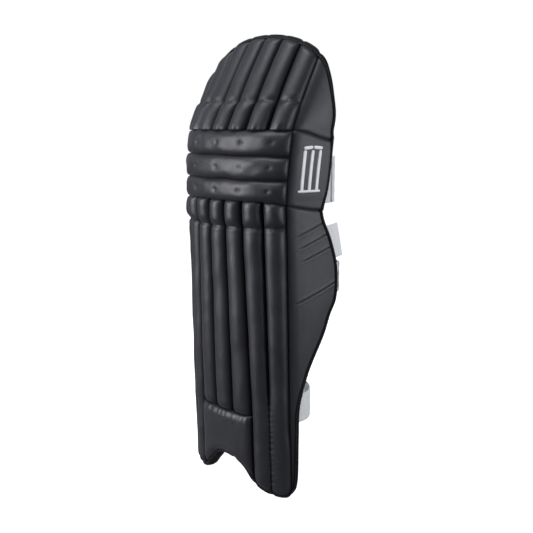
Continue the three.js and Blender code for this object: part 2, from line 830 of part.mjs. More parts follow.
function topHatRoll(roll) {
  const low = KNEE_TOP + SEAM_GAP;
  const centre = (seamLine(roll - 1, KNEE_TOP) + seamLine(roll, KNEE_TOP)) / 2;
  const top = topEdge(centre);
  const levels = [low, low + 5, KNEE_TOP + TOP_BULGE_HEIGHT / 2, TOP_CREASE - 5, TOP_CREASE,
    TOP_CREASE + 8, lerp(TOP_CREASE, top, 0.55), top - 12, top];
  const shares = [0, 0.12, 0.32, 0.5, 0.68, 0.88, 1];
  return sewn({
    across: between(
      (z) => seamLine(roll - 1, z) + SEAM_GAP,
      (z) => seamLine(roll, z) - SEAM_GAP,
      shares,
    ),
    low: () => low,
    high: topEdge,
    rows: levels.map((z) => (z - low) / (top - low)),
    inner: () => ROLL_INNER,
    outer: (s, z, share, row) => {
      const level = lerp(low, top, row);
      const bulge = level < TOP_CREASE;
      const depth = bulge
        ? lerp(SEAM_DEPTH, TOP_BULGE_DEPTH, rounded(level, low, TOP_CREASE, TOP_BULGE_HEIGHT / 2))
        : lerp(SEAM_DEPTH + 1, TOP_ROLL_DEPTH, rounded(level, TOP_CREASE, top + 3, 15));
      return ROLL_INNER + 0.8 + depth * crown(shares[Math.round(share * 6)]);
    },
  });
}

function topHatPanel(side) {
  const across = between(
    () => side * (HALF_WIDTH + SEAM_GAP),
    () => topHatReach(side),
    WING_SHARES,
  );
  return sewn({
    across: side > 0 ? across : across.reverse(),
    low: (s) => kneeTop(s) + SEAM_GAP,
    high: topEdge,
    rows: evenly(5),
    inner: () => CORE_INNER,
    outer: () => WING_PROUD,
  });
}

// ---------------------------------------------------------------- straps

// Where a strap leaves the outer wing and where it reaches the inner one, in plan. The first
// stretch behind the wing, the lead, stays with the wing, and the strap swings from its end.
function strapRoute(edge, level, slack, lead, pivotLevel = level) {
  const outerS = edge(1, pivotLevel) + RIM_ROOM + 5;
  const innerS = edge(-1, level) - RIM_ROOM - 6;
  const leaveN = LINING_INNER - BINDING_PROUD - LAYER_GAP - STRAP_THICKNESS / 2;
  const landingN = WING_PROUD + PATCH_THICKNESS + STRAP_GAP + STRAP_THICKNESS / 2 + 1;
  const start = place(outerS, level, leaveN);
  const landing = place(innerS, level, landingN);
  const leave = new THREE.Vector3(0.1, 1, 0).normalize();
  const arrive = new THREE.Vector3(-0.3, -1, 0).normalize();
  const curve = new THREE.CubicBezierCurve3(
    start,
    start.clone().addScaledVector(leave, slack),
    landing.clone().addScaledVector(arrive, -slack),
    landing,
  );
  return { edge, outerS, innerS, leaveN, landingN, level, lead, curve };
}

// Webbing that follows a curve between two distances along it.
function webbing(curve, from, to, width, stations) {
  const length = curve.getLength();
  const half = STRAP_THICKNESS / 2;
  const sections = evenly(stations).map((share) => {
    const at = lerp(from, to, share) / length;
    const point = curve.getPointAt(at);
    const along = curve.getTangentAt(at);
    const side = new THREE.Vector3(along.y, -along.x, 0).normalize();
    const corner = (out, up) => point.clone()
      .addScaledVector(side, out * half)
      .add(new THREE.Vector3(0, 0, up * width / 2));
    return [corner(1, -1), corner(-1, -1), corner(-1, 1), corner(1, 1)];
  });
  return lofted(sections);
}

function strapBand({ curve, lead }, width) {
  return webbing(curve, lead + HINGE_GAP, curve.getLength() - HINGE_GAP, width, 16);
}

function strapEnd({ innerS, landingN, level }, width) {
  const half = STRAP_THICKNESS / 2;
  const start = innerS + half + HINGE_GAP;
  const finish = -seam(3, level) - STRAP_END_SETBACK;
  const taper = 6;
  return sewn({
    across: between(() => start, () => finish, evenly(6)),
    low: (s) => level - width / 2 + taper * smooth((s - finish + taper) / taper),
    high: (s) => level + width / 2 - taper * smooth((s - finish + taper) / taper),
    rows: evenly(3),
    inner: () => landingN - half,
    outer: () => landingN + half,
  });
}

// The part sewn to the back of the outer wing, together with the lead.
function strapAnchor({ outerS, leaveN, level, lead, curve }, width) {
  const sewnPart = flat(outerS - ANCHOR_LENGTH - 5, outerS + 1, level - width / 2,
    level + width / 2, leaveN + STRAP_THICKNESS / 2, -STRAP_THICKNESS, 8);
  return joined([sewnPart, webbing(curve, 0, lead - LEAD_GAP, width, 4)]);
}

// The patch starts just inside the edge binding, wherever the rear edge is closest to it.
function loopPatch({ edge, level }, width) {
  const reach = width / 2 + 3;
  const start = Math.max(...[-1, 0, 1].map((step) => edge(-1, level + step * reach))) + LAYER_GAP;
  const end = -seam(3, level) - STRAP_END_SETBACK + 2;
  return flat(start, end, level - reach, level + reach,
    WING_PROUD + LAYER_GAP, PATCH_THICKNESS, 5);
}

const KNEE_ROUTE = strapRoute(kneeEdge, KNEE_STRAP_LEVEL, KNEE_STRAP_SLACK, KNEE_STRAP_LEAD);
const CALF_ROUTE = strapRoute(shinEdge, CALF_STRAP_LEVEL, CALF_STRAP_SLACK, CALF_STRAP_LEAD);
const ANKLE_ROUTE = strapRoute(
  shinEdge,
  ANKLE_STRAP_LEVEL,
  ANKLE_STRAP_SLACK,
  ANKLE_STRAP_LEAD,
  ANKLE_STRAP_LEVEL + ANKLE_STRAP_WIDTH / 2,
);

// ---------------------------------------------------------------- assembly

const SIDES = [['outer', 1], ['inner', -1]];
const ROLLS = Array.from({ length: ROLL_COUNT }, (_, i) => i + 1);

function shinGroup() {
  const group = new THREE.Group();
  group.add(piece('shin_core', 'foam', shinCore()));
  group.add(piece('shin_lining', 'lining', shinLining()));
  for (const roll of ROLLS) {
    group.add(piece(`shin_roll_${roll}`, 'cover', shinRoll(roll)));
    group.add(piece(`shin_cane_${roll}`, 'cane', shinCane(roll)));
  }
  for (const [name, side] of SIDES) {
    group.add(piece(`${name}_wing`, 'panel', shinWing(side)));
    group.add(piece(`${name}_shin_bolster`, 'lining', shinBolster(side)));
  }
  group.add(piece('instep_pad', 'cover', instepPad()));
  group.add(piece('shin_binding', 'binding', binding(SHIN_RIM, -1)));
  group.add(piece('calf_strap_anchor', 'webbing', strapAnchor(CALF_ROUTE, CALF_STRAP_WIDTH)));
  group.add(piece('calf_loop_patch', 'loop', loopPatch(CALF_ROUTE, CALF_STRAP_WIDTH)));
  group.add(piece('ankle_strap_anchor', 'webbing', strapAnchor(ANKLE_ROUTE, ANKLE_STRAP_WIDTH)));
  group.add(piece('ankle_loop_patch', 'loop', loopPatch(ANKLE_ROUTE, ANKLE_STRAP_WIDTH)));
  group.add(piece('care_label', 'label', careLabel()));
  return group;
}

function kneeGroup() {
  const group = new THREE.Group();
  group.add(piece('knee_core', 'foam', kneeCore()));
  group.add(piece('knee_lining', 'lining', kneeLining()));
  KNEE_ROLL_HEIGHTS.forEach((height, i) => {
    group.add(piece(`knee_roll_${i + 1}`, 'cover', kneeRoll(i)));
  });
  for (const [name, side] of SIDES) {
    group.add(piece(`${name}_knee_panel`, 'panel', kneePanel(side)));
    group.add(piece(`${name}_knee_bolster`, 'lining', kneeBolster(side)));
  }
  group.add(piece('outer_knee_binding', 'binding', binding(OUTER_KNEE_RIM, 1)));
  group.add(piece('inner_knee_binding', 'binding', binding(INNER_KNEE_RIM, 1)));
  group.add(piece('wicket_badge', 'badge', wicketBadge()));
  group.add(piece('knee_strap_anchor', 'webbing', strapAnchor(KNEE_ROUTE, KNEE_STRAP_WIDTH)));
  group.add(piece('knee_loop_patch', 'loop', loopPatch(KNEE_ROUTE, KNEE_STRAP_WIDTH)));
  return group;
}

function topHatGroup() {
  const group = new THREE.Group();
  group.add(piece('top_hat_core', 'foam', topHatCore()));
  group.add(piece('top_hat_lining', 'lining', topHatLining()));
  for (const roll of ROLLS) {
    group.add(piece(`top_hat_roll_${roll}`, 'cover', topHatRoll(roll)));
  }
  for (const [name, side] of SIDES) {
    group.add(piece(`${name}_top_panel`, 'panel', topHatPanel(side)));
  }
  group.add(piece('top_hat_binding', 'binding', binding(TOP_RIM, 1)));
  return group;
}

function strapGroup() {
  const group = new THREE.Group();
  const straps = [
    ['knee', KNEE_ROUTE, KNEE_STRAP_WIDTH],
    ['calf', CALF_ROUTE, CALF_STRAP_WIDTH],
    ['ankle', ANKLE_ROUTE, ANKLE_STRAP_WIDTH],
  ];
  for (const [name, route, width] of straps) {
    group.add(piece(`${name}_strap`, 'webbing', strapBand(route, width)));
    group.add(piece(`${name}_strap_end`, 'webbing', strapEnd(route, width)));
  }
  return group;
}

const guard = new THREE.Group();
guard.add(shinGroup(), kneeGroup(), topHatGroup(), strapGroup());

export default guard;
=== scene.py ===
# %% [markdown]
# # A batting leg guard, sewn on a curved surface
# A leg guard is flat pieces of coated cloth, stuffed and sewn side by side, then bent round
# the leg. So every piece here is drawn flat first, with s along the cloth from the middle of
# the shin and z up the leg, and one function bends it all round the leg. Neighbours that
# share a seam on the flat drawing then share it on the finished guard too.

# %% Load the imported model
import math

import bpy
import numpy as np
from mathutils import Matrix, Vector


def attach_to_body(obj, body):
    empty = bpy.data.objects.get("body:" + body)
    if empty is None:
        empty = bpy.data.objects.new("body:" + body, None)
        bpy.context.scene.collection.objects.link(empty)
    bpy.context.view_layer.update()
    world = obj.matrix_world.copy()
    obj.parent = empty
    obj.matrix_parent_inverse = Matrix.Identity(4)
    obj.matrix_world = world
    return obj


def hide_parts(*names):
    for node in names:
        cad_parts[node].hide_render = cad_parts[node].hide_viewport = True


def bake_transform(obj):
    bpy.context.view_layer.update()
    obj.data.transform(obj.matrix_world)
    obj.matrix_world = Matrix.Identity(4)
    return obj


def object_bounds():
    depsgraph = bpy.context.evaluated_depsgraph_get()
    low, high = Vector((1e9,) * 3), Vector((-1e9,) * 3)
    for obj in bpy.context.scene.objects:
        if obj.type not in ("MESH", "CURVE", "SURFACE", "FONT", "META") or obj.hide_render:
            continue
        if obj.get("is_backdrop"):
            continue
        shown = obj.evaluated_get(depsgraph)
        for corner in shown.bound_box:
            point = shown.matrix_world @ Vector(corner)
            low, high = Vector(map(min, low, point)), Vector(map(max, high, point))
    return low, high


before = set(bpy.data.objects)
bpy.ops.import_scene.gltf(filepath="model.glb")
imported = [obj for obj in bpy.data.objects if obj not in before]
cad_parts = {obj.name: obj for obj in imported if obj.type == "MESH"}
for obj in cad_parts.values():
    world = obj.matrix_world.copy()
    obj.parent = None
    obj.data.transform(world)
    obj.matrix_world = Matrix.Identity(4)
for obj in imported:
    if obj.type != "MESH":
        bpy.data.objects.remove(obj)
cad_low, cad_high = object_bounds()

scene = bpy.context.scene
print("model box:", [round(v, 3) for v in cad_low], [round(v, 3) for v in cad_high])

# %% [markdown]
# ## Camera, floor and light
# The guard is black and satin, so its shape is read from what it mirrors. Small lamps would
# leave hard dots on the rolls. Large soft lamps and a bright room give each roll one long
# highlight, so that is what is used here. The seams are darkened by painted shade in the cloth.

# %% Camera
camera_data = bpy.data.cameras.new("camera")
camera_data.lens = 53.0
camera_data.sensor_width = 36.0
camera = bpy.data.objects.new("camera", camera_data)
camera.location = (0.8951, -0.8130, 0.558)
camera.rotation_euler = (math.radians(79.9), 0, math.radians(47))
scene.collection.objects.link(camera)
scene.camera = camera
print("camera stands", round(camera.location.length, 3), "m from the origin")

# %% Lights and floor
ROOM_LIGHT = 0.34
scene.view_settings.view_transform = "Standard"
world = bpy.data.worlds.new("room")
scene.world = world
world.use_nodes = True


def swap_for_camera(tree, lit, seen, output):
    """The guard is lit by one shader, and the camera sees the other behind it."""
    swap, path = tree.nodes.new("ShaderNodeMixShader"), tree.nodes.new("ShaderNodeLightPath")
    for source, target in ((path.outputs["Is Camera Ray"], swap.inputs[0]),
                           (lit.outputs[0], swap.inputs[1]), (seen.outputs[0], swap.inputs[2]),
                           (swap.outputs[0], tree.nodes[output].inputs[0])):
        tree.links.new(source, target)


fill, backdrop = world.node_tree.nodes["Background"], world.node_tree.nodes.new("ShaderNodeBackground")
fill.inputs["Color"].default_value = (0.80, 0.89, 1.0, 1)
fill.inputs["Strength"].default_value = ROOM_LIGHT
backdrop.inputs["Color"].default_value = (1, 1, 1, 1)
swap_for_camera(world.node_tree, fill, backdrop, "World Output")


def soft_lamp(name, place_at, size, watts):
    lamp = bpy.data.lights.new(name, "AREA")
    lamp.shape = "RECTANGLE"
    lamp.size, lamp.size_y = size
    lamp.energy = watts
    lamp.color = (0.94, 0.94, 1.0)
    holder = bpy.data.objects.new(name, lamp)
    holder.location = place_at
    aim = Vector((0, 0, 0.36)) - Vector(place_at)
    holder.rotation_euler = aim.to_track_quat("-Z", "Y").to_euler()
    scene.collection.objects.link(holder)


soft_lamp("front_left_lamp", (-0.75, -1.75, 0.85), (0.75, 1.6), 53)
soft_lamp("right_lamp", (1.95, 0.75, 0.52), (1.0, 0.8), 20)
soft_lamp("top_lamp", (0.1, -0.6, 2.3), (0.9, 0.9), 24)
soft_lamp("back_lamp", (-0.9, 1.9, 1.5), (0.9, 1.2), 22)

FLOOR_REACH = 9.0
floor_mesh = bpy.data.meshes.new("floor")
floor_mesh.from_pydata([(x * FLOOR_REACH, y * FLOOR_REACH, cad_low.z) for x, y in
                        ((-1, -1), (1, -1), (1, 1), (-1, 1))], [], [(0, 1, 2, 3)])
floor = bpy.data.objects.new("floor", floor_mesh)
scene.collection.objects.link(floor)
white = bpy.data.materials.new("studio_paper")
white.use_nodes = True
paper_tree = white.node_tree
seen = paper_tree.nodes["Principled BSDF"]
seen.inputs["Base Color"].default_value = (0.5, 0.5, 0.5, 1)
seen.inputs["Roughness"].default_value = 0.9
seen.inputs["Emission Color"].default_value = (1, 1, 1, 1)
seen.inputs["Emission Strength"].default_value = 0.9
unseen = paper_tree.nodes.new("ShaderNodeBsdfDiffuse")
unseen.inputs["Color"].default_value = (0.20, 0.20, 0.21, 1)
swap_for_camera(paper_tree, unseen, seen, "Material Output")
floor_mesh.materials.append(white)
floor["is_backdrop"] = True
print("floor at", round(cad_low.z, 4))

# %% [markdown]
# ## The curved surface
# A guard has a flat front, rounder shoulders, a tight corner at the last roll and nearly flat
# wings. That is a chain of circular arcs, which keeps lengths nearly true, as cloth does. The
# guard is up to 4.5 percent wider at the foot and 1 percent narrower under the knee, so cloth
# there stretches by as much. The front line leans back at the top hat. `place` takes
# millimetres on the flat drawing and a height n above the cloth, and gives metres in space.

# %% Sizes and the bend round the leg
MM = 0.001
SHIN, KNEE_SEAMS, TOP_HAT = 453.0, [453.0, 484.0, 518.0, 553.0], 139.0
KNEE_TOP = KNEE_SEAMS[-1]
ROLL_PITCH, ANKLE_MIDDLE_PITCH, ANKLE_SIDE_PITCH, PARALLEL_FROM = 32.0, 36.0, 27.0, 380.0
HALF_WIDTH = 3.5 * ROLL_PITCH
EDGE_DROP = 14.0
SHIN_CREASE, TOP_CREASE, INSTEP = 415.0, 590.0, 127.0
ARCS = [(48.0, 12.0), (64.0, 38.0), (14.0, 26.0), (110.0, 12.0)]


def smooth(t):
    t = np.clip(t, 0, 1)
    return t * t * (3 - 2 * t)


def mix(a, b, t):
    return a + (b - a) * t


def front_line(z):
    rise = z - KNEE_TOP
    low = 14.0 * (1 - z / SHIN)
    middle = 7.0 * (np.clip(z - SHIN, 0, None) / 100.0) ** 2
    high = 7.0 + 0.47 * rise + 0.00065 * rise * rise
    return np.where(z <= SHIN, low, np.where(z <= KNEE_TOP, middle, high))


def width_factor(z):
    return np.where(z <= SHIN, mix(1.045, 0.99, z / SHIN),
                    mix(0.99, 1.03, np.clip((z - SHIN) / 100.0, 0, 1)))


def place(s, z, n):
    s, z, n = np.broadcast_arrays(np.asarray(s, float), np.asarray(z, float), np.asarray(n, float))
    openness = 1 - 0.22 * np.clip((z - KNEE_TOP) / TOP_HAT, 0, 1)
    rest, x, y, angle = np.abs(s), np.zeros(s.shape), np.zeros(s.shape), np.zeros(s.shape)
    for length, turn in ARCS:
        run = np.minimum(rest, length)
        radius = length / (math.radians(turn) * openness)
        end = angle + run / radius
        x = x + radius * (np.sin(end) - np.sin(angle))
        y = y + radius * (np.cos(angle) - np.cos(end))
        angle, rest = end, rest - run
    x, y = x + rest * np.cos(angle), y + rest * np.sin(angle)
    side, width = np.where(s < 0, -1.0, 1.0), width_factor(z)
    return np.stack([side * (x * width + n * np.sin(angle)),
                     y * width + front_line(z) - n * np.cos(angle) - 72.0, z], -1) * MM


print("last seam at the knee:", place(HALF_WIDTH, 500, 0).round(4))

# %% [markdown]
# ## Seams and rims on the flat drawing
# The vertical seams are 32 mm apart at the knee and spread at the ankle. The rims are smooth
# curves through a few chosen points, as a pattern cutter draws them with a French curve.

# %% Seams and rims


def seam(index, z):
    upper = (index + 0.5) * ROLL_PITCH
    lower = (min(index, 1) + 0.5) * ANKLE_MIDDLE_PITCH + max(index - 1, 0) * ANKLE_SIDE_PITCH
    return mix(lower, upper, np.clip((z - INSTEP) / (PARALLEL_FROM - INSTEP), 0, 1))


def seam_line(line, z):
    return -seam(3 - line, z) if line < 4 else seam(line - 4, z)


def knee_bottom(s):
    return SHIN - EDGE_DROP * smooth((np.abs(s) - 70.0) / 100.0)


def knee_top(s):
    return KNEE_TOP - EDGE_DROP * smooth((np.abs(s) - HALF_WIDTH) / 68.0)


def foot_edge(s):
    return 51.0 / (1 + ((s - 5.0) / 42.0) ** 4)


def through(points, count):
    points = np.array(points, float)
    last = len(points) - 1
    t = np.linspace(0, last, count)
    at = np.minimum(t.astype(int), last - 1)
    w = (t - at)[:, None]
    before, here = points[np.maximum(at - 1, 0)], points[at]
    after, beyond = points[at + 1], points[np.minimum(at + 2, last)]
    v0, v1 = (after - before) / 2, (beyond - here) / 2
    return (2 * here - 2 * after + v0 + v1) * w ** 3 + \
        (-3 * here + 3 * after - 2 * v0 - v1) * w ** 2 + v0 * w + here


def shin_side(edge, side):
    return [(side * (seam(3, share * SHIN) + depth), share * SHIN) for share, depth in edge]


OUTER_EDGE = [(0.07, 9), (0.22, 12), (0.33, 15), (0.44, 30), (0.555, 57), (0.62, 69),
              (0.68, 82), (0.78, 84), (0.87, 74), (0.935, 62), (0.966, 59)]
INNER_EDGE = [(0.07, 14), (0.16, 30), (0.28, 43), (0.45, 48), (0.62, 51),
              (0.78, 51), (0.88, 48), (0.966, 44)]
FOOT = [(share * 108.0, foot_edge(share * 108.0))
        for share in (0.93, 0.72, 0.5, 0.32, 0.12, -0.1, -0.3, -0.5, -0.72, -0.93)]
shin_rim = through(shin_side(OUTER_EDGE, 1)[::-1] + [(111.0, 10.0)] + FOOT + [(-111.0, 10.0)]
                   + shin_side(INNER_EDGE, -1), 560)
knee_rims = {
    1: through([(HALF_WIDTH + depth, SHIN + share * 100) for share, depth in
                [(-0.12, 61), (0.15, 68), (0.5, 69), (0.88, 67)]], 60),
    -1: through([(-HALF_WIDTH - depth, SHIN + share * 100) for share, depth in
                 [(-0.08, 45), (0.2, 48), (0.5, 49), (0.9, 46)]], 60)[::-1],
}
TOP_RIM = [(1.585, -0.045), (1.52, 0.15), (1.38, 0.36), (1.23, 0.56), (1.05, 0.745),
           (0.83, 0.87), (0.5, 0.965), (0.1, 1), (-0.29, 0.965), (-0.55, 0.86),
           (-0.78, 0.71), (-0.98, 0.5), (-1.18, 0.25), (-1.33, 0.0)]
top_rim = through([(share * HALF_WIDTH, KNEE_TOP + rise * TOP_HAT) for share, rise in TOP_RIM], 300)


def inset(rim, distance):
    along = np.gradient(rim, axis=0)
    along /= np.linalg.norm(along, axis=1)[:, None]
    return rim + np.stack([-along[:, 1], along[:, 0]], 1) * np.reshape(distance, (-1, 1))


TUCK = 3.0
shin_cut, top_cut = inset(shin_rim, -TUCK), inset(top_rim, TUCK)


def sorted_interp(value, known, wanted):
    order = np.argsort(known)
    return np.interp(value, known[order], wanted[order])


def shin_edge(side, z):
    half = shin_cut[shin_cut[:, 0] * side > 104.0]
    half = half[np.argsort(half[:, 1])]
    return np.interp(z, half[:, 1], half[:, 0])


def shin_foot(s):
    low = shin_cut[(shin_cut[:, 1] < 60) & (np.abs(shin_cut[:, 0]) < 105.5)]
    return sorted_interp(np.clip(s, -104, 104), low[:, 0], low[:, 1])


def knee_edge(side, z):
    rim = knee_rims[side]
    return sorted_interp(z, rim[:, 1], rim[:, 0]) - side * TUCK


def top_edge(s):
    return sorted_interp(s, top_cut[:, 0], top_cut[:, 1])


def top_side(side, z):
    half = top_cut[top_cut[:, 0] * side > 0]
    return sorted_interp(z, half[:, 1], half[:, 0])


def gap_to(rim, s, z):
    """Distance on the flat drawing from each point to a rim."""
    flat_s, flat_z = np.ravel(s), np.ravel(z)
    nearest = np.full(flat_s.shape, 1e3)
    for k in range(0, len(rim), 40):
        part = rim[k:k + 40]
        far = np.hypot(flat_s[:, None] - part[:, 0], flat_z[:, None] - part[:, 1]).min(1)
        nearest = np.minimum(nearest, far)
    return nearest.reshape(np.shape(s))


def thinned(height, gap, low=2.2, ramp=11.0):
    """A pad thins out where it runs under the edge tape."""
    inside = np.clip((gap - 4.6) / ramp, 0, 1)
    return low + (height - low) * np.sqrt(1 - (1 - inside) ** 2)


print("rim lengths in mm:", [round(float(np.linalg.norm(np.diff(r, axis=0), axis=1).sum()))
                             for r in (shin_rim, knee_rims[1], knee_rims[-1], top_rim)])

# %% [markdown]
# ## Turning grids into pieces
# Each piece is a grid with an outer and an inner face, joined round its border, so it is one
# closed body. Every point keeps its flat place as its UV, in metres, so that a weave follows
# the cloth. A second value, the valley, says how deep in a seam a point lies. Materials use
# it to paint shade into the seams: a darker colour there, and in the coated cloth a dull dark shader and more
# roughness.

# %% Mesh helpers


def fixed_noise(seed, s, z, size_s, size_z):
    table = np.random.RandomState(seed).uniform(-1, 1, (61, 61))
    a, b = s / size_s + 300.3, z / size_z + 200.7
    i, j = np.floor(a).astype(int), np.floor(b).astype(int)
    fa, fb = smooth(a - i), smooth(b - j)
    i, j, i1, j1 = i % 61, j % 61, (i + 1) % 61, (j + 1) % 61
    return mix(mix(table[i, j], table[i1, j], fa), mix(table[i, j1], table[i1, j1], fa), fb)


def make_piece(name, points, faces, material, uv=None, values=None, sharp=None):
    mesh = bpy.data.meshes.new(name)
    mesh.from_pydata(np.asarray(points).tolist(), [],
                     faces.tolist() if isinstance(faces, np.ndarray) else faces)
    mesh.materials.append(material)
    if uv is not None:
        at = np.zeros(len(mesh.loops), np.int32)
        mesh.loops.foreach_get("vertex_index", at)
        layer = mesh.uv_layers.new(name="UVMap")
        layer.data.foreach_set("uv", np.asarray(uv, np.float32)[at].ravel())
    for key, data in (values or {}).items():
        layer = mesh.attributes.new(key, "FLOAT", "POINT")
        layer.data.foreach_set("value", np.asarray(data, np.float32).ravel())
    mesh.polygons.foreach_set("use_smooth", np.ones(len(mesh.polygons), bool))
    if sharp:
        mesh.set_sharp_from_angle(angle=math.radians(sharp))
    piece = bpy.data.objects.new(name, mesh)
    scene.collection.objects.link(piece)
    return piece


def shell_faces(rows, columns):
    at = np.arange(rows * columns).reshape(rows, columns)
    a, b, c, d = at[:-1, :-1], at[:-1, 1:], at[1:, 1:], at[1:, :-1]
    outer = np.stack([a, b, c, d], -1).reshape(-1, 4)
    inner = outer[:, ::-1] + rows * columns
    ring = np.concatenate([at[0, :-1], at[:-1, -1], at[-1, :0:-1], at[:0:-1, 0]])
    after = np.roll(ring, -1)
    wall = np.stack([ring, ring + rows * columns, after + rows * columns, after], -1)
    return np.concatenate([outer, inner, wall])


def two_faces(s, z, front, back):
    """The points of both faces of a closed grid."""
    return np.concatenate([place(s, z, front).reshape(-1, 3), place(s, z, back).reshape(-1, 3)])


def flat_uv(s, z):
    return np.concatenate([np.stack([s, z], -1).reshape(-1, 2)] * 2) * MM


def level_edge(z):
    """A straight edge across the cloth at one height."""
    return lambda s: np.full(np.shape(s), z)


def cut_out(columns, low, high, across, up):
    """The flat places of a grid: columns(share, z) gives s, low(s) and high(s) give the edges."""
    share, row = np.meshgrid(np.linspace(0, 1, across + 1) if isinstance(across, int) else across,
                             np.linspace(0, 1, up + 1) if isinstance(up, int) else up)
    z = mix(low(columns(share, 300.0)), high(columns(share, 300.0)), row)
    for _ in range(5):
        s = columns(share, z)
        z = mix(low(s), high(s), row)
    return columns(share, z), z, share, row


def bake_modifiers(piece):
    shape = piece.evaluated_get(bpy.context.evaluated_depsgraph_get())
    mesh = bpy.data.meshes.new_from_object(shape)
    piece.modifiers.clear()
    old, piece.data = piece.data, mesh
    bpy.data.meshes.remove(old)
    mesh.name = piece.name
    return piece


def subdivide(piece, levels=1):
    rounder = piece.modifiers.new("rounder", "SUBSURF")
    rounder.levels = rounder.render_levels = levels
    return bake_modifiers(piece)


print("a 4 by 3 grid has", len(shell_faces(3, 4)), "faces as a closed piece")

# %% [markdown]
# ## Writing a finish as a sum
# A finish is easier to read as arithmetic than as a web of nodes. A `Wire` wraps one socket,
# and adding or multiplying wires adds the Math nodes. `Recipe.node` makes any other node from
# its type, its settings and the values or wires of its sockets.

# %% Shader arithmetic


class Wire:
    def __init__(self, recipe, socket):
        self.recipe, self.socket = recipe, socket

    def maths(self, operation, *others):
        node = self.recipe.tree.nodes.new("ShaderNodeMath")
        node.operation = operation
        for socket, value in zip(node.inputs, others):
            self.recipe.join(socket, value)
        return Wire(self.recipe, node.outputs[0])

    def __add__(self, other): return self.maths("ADD", self, other)
    def __radd__(self, other): return self.maths("ADD", other, self)
    def __sub__(self, other): return self.maths("SUBTRACT", self, other)
    def __rsub__(self, other): return self.maths("SUBTRACT", other, self)
    def __mul__(self, other): return self.maths("MULTIPLY", self, other)
    def __rmul__(self, other): return self.maths("MULTIPLY", other, self)
    def __truediv__(self, other): return self.maths("DIVIDE", self, other)
    def __pow__(self, other): return self.maths("POWER", self, other)
    def sine(self): return self.maths("SINE", self)
    def size(self): return self.maths("ABSOLUTE", self)
    def between(self, low, high):
        return self.recipe.node("ShaderNodeMapRange", values={
            "Value": self, "From Min": low, "From Max": high})


class Recipe:
    def __init__(self, name):
        self.material = bpy.data.materials.new(name)
        self.material.use_nodes = True
        self.tree = self.material.node_tree
        self.shader = self.tree.nodes["Principled BSDF"]

    def join(self, socket, value):
        if isinstance(value, Wire):
            self.tree.links.new(value.socket, socket)
        else:
            socket.default_value = value

    def node(self, kind, settings=None, values=None, out=0):
        node = self.tree.nodes.new(kind)
        for key, value in (settings or {}).items():
            if key == "stops":
                ramp = node.color_ramp
                ramp.elements[0].position, ramp.elements[0].color = value[0]
                ramp.elements[-1].position, ramp.elements[-1].color = value[-1]
                for position, colour in value[1:-1]:
                    ramp.elements.new(position).color = colour
            else:
                setattr(node, key, value)
        for key, value in (values or {}).items():
            self.join(node.inputs[key], value)
        return Wire(self, node.outputs[out])

    def set(self, **sockets):
        for key, value in sockets.items():
            self.join(self.shader.inputs[key.replace("_", " ")], value)

    def place(self): return self.node("ShaderNodeTexCoord", out="Object")

    def flat(self):
        split = self.node("ShaderNodeSeparateXYZ",
                          values={0: self.node("ShaderNodeUVMap", {"uv_map": "UVMap"})})
        node = split.socket.node
        return Wire(self, node.outputs[0]), Wire(self, node.outputs[1])

    def noise(self, scale, detail=2.0, rough=0.5):
        return self.node("ShaderNodeTexNoise", values={
            "Vector": self.place(), "Scale": scale, "Detail": detail, "Roughness": rough})

    def valley(self):
        return self.node("ShaderNodeAttribute", {"attribute_name": "valley"}, out="Fac")

    def blend(self, amount, first, second):
        return self.node("ShaderNodeMix", {"data_type": "RGBA"},
                         {0: amount, 6: first, 7: second}, out=2)

    def mix_in_painted_shade(self, amount, colour):
        """Mix in a dull dark shader, for places that no light reaches."""
        dull = self.node("ShaderNodeBsdfDiffuse", values={"Color": colour})
        both = self.node("ShaderNodeMixShader", values={
            0: amount, 1: Wire(self, self.shader.outputs[0]), 2: dull})
        self.tree.links.new(both.socket, self.tree.nodes["Material Output"].inputs[0])

    def bump(self, height, strength, distance):
        return self.node("ShaderNodeBump", values={
            "Height": height, "Strength": strength, "Distance": distance})


print("recipes ready")

# %% [markdown]
# ## Coated cloth
# The outside is polyurethane on cloth, pressed with a fine leather grain. Cells about a
# millimetre across give the grain, noise gives cloudy wear, and the seams get painted shade:
# their colour is darkened and a dull dark shader is mixed in there. They are also rougher. The
# rolls and the flat panels share one function, since the panels are the same cloth, pulled flat and a bit
# paler.

# %% Cover and panel


def coated_cloth(name, dark, light, rough, grain):
    recipe = Recipe(name)
    cells = recipe.node("ShaderNodeTexVoronoi", {"feature": "DISTANCE_TO_EDGE"}, {
        "Vector": recipe.place(), "Scale": 900.0, "Randomness": 1.0})
    creases = cells.between(0.0, 0.16)
    pores = recipe.noise(2300.0, 2.0)
    cloud = recipe.noise(24.0, 4.0, 0.6)
    drift = recipe.noise(7.0, 2.0, 0.5)
    valley = recipe.valley()
    # The cloud and drift noise is wear; subtracting the valley paints shade into the seams.
    shade = (cloud * 0.6 + drift * 0.4).between(0.36, 0.64) - valley * 0.55
    recipe.set(
        Base_Color=recipe.blend(shade.between(-0.2, 1.0), dark, light),
        Roughness=rough + (cloud - 0.5) * 0.16 + valley * 0.16 - creases * 0.05,
        IOR=1.48, Sheen_Weight=0.05, Sheen_Roughness=0.5,
        Normal=recipe.bump(creases * 0.75 + pores * 0.35, grain, 0.00022))
    # Painted shade: deep in the seams a dull dark shader stands in for shade, hiding the reflection of the
    # lamps and the bright room.
    recipe.mix_in_painted_shade(valley * 0.9, (0.0016, 0.0017, 0.0021, 1))
    return recipe.material


DEEP_BLACK, BLACK, WORN_BLACK = (
    (0.0032, 0.0033, 0.0042, 1), (0.0088, 0.009, 0.0108, 1), (0.0165, 0.0168, 0.0195, 1))
cover = coated_cloth("roll_cover", DEEP_BLACK, BLACK, 0.45, 0.34)
panel = coated_cloth("panel_cover", BLACK, WORN_BLACK, 0.42, 0.4)
print("cover and panel made")

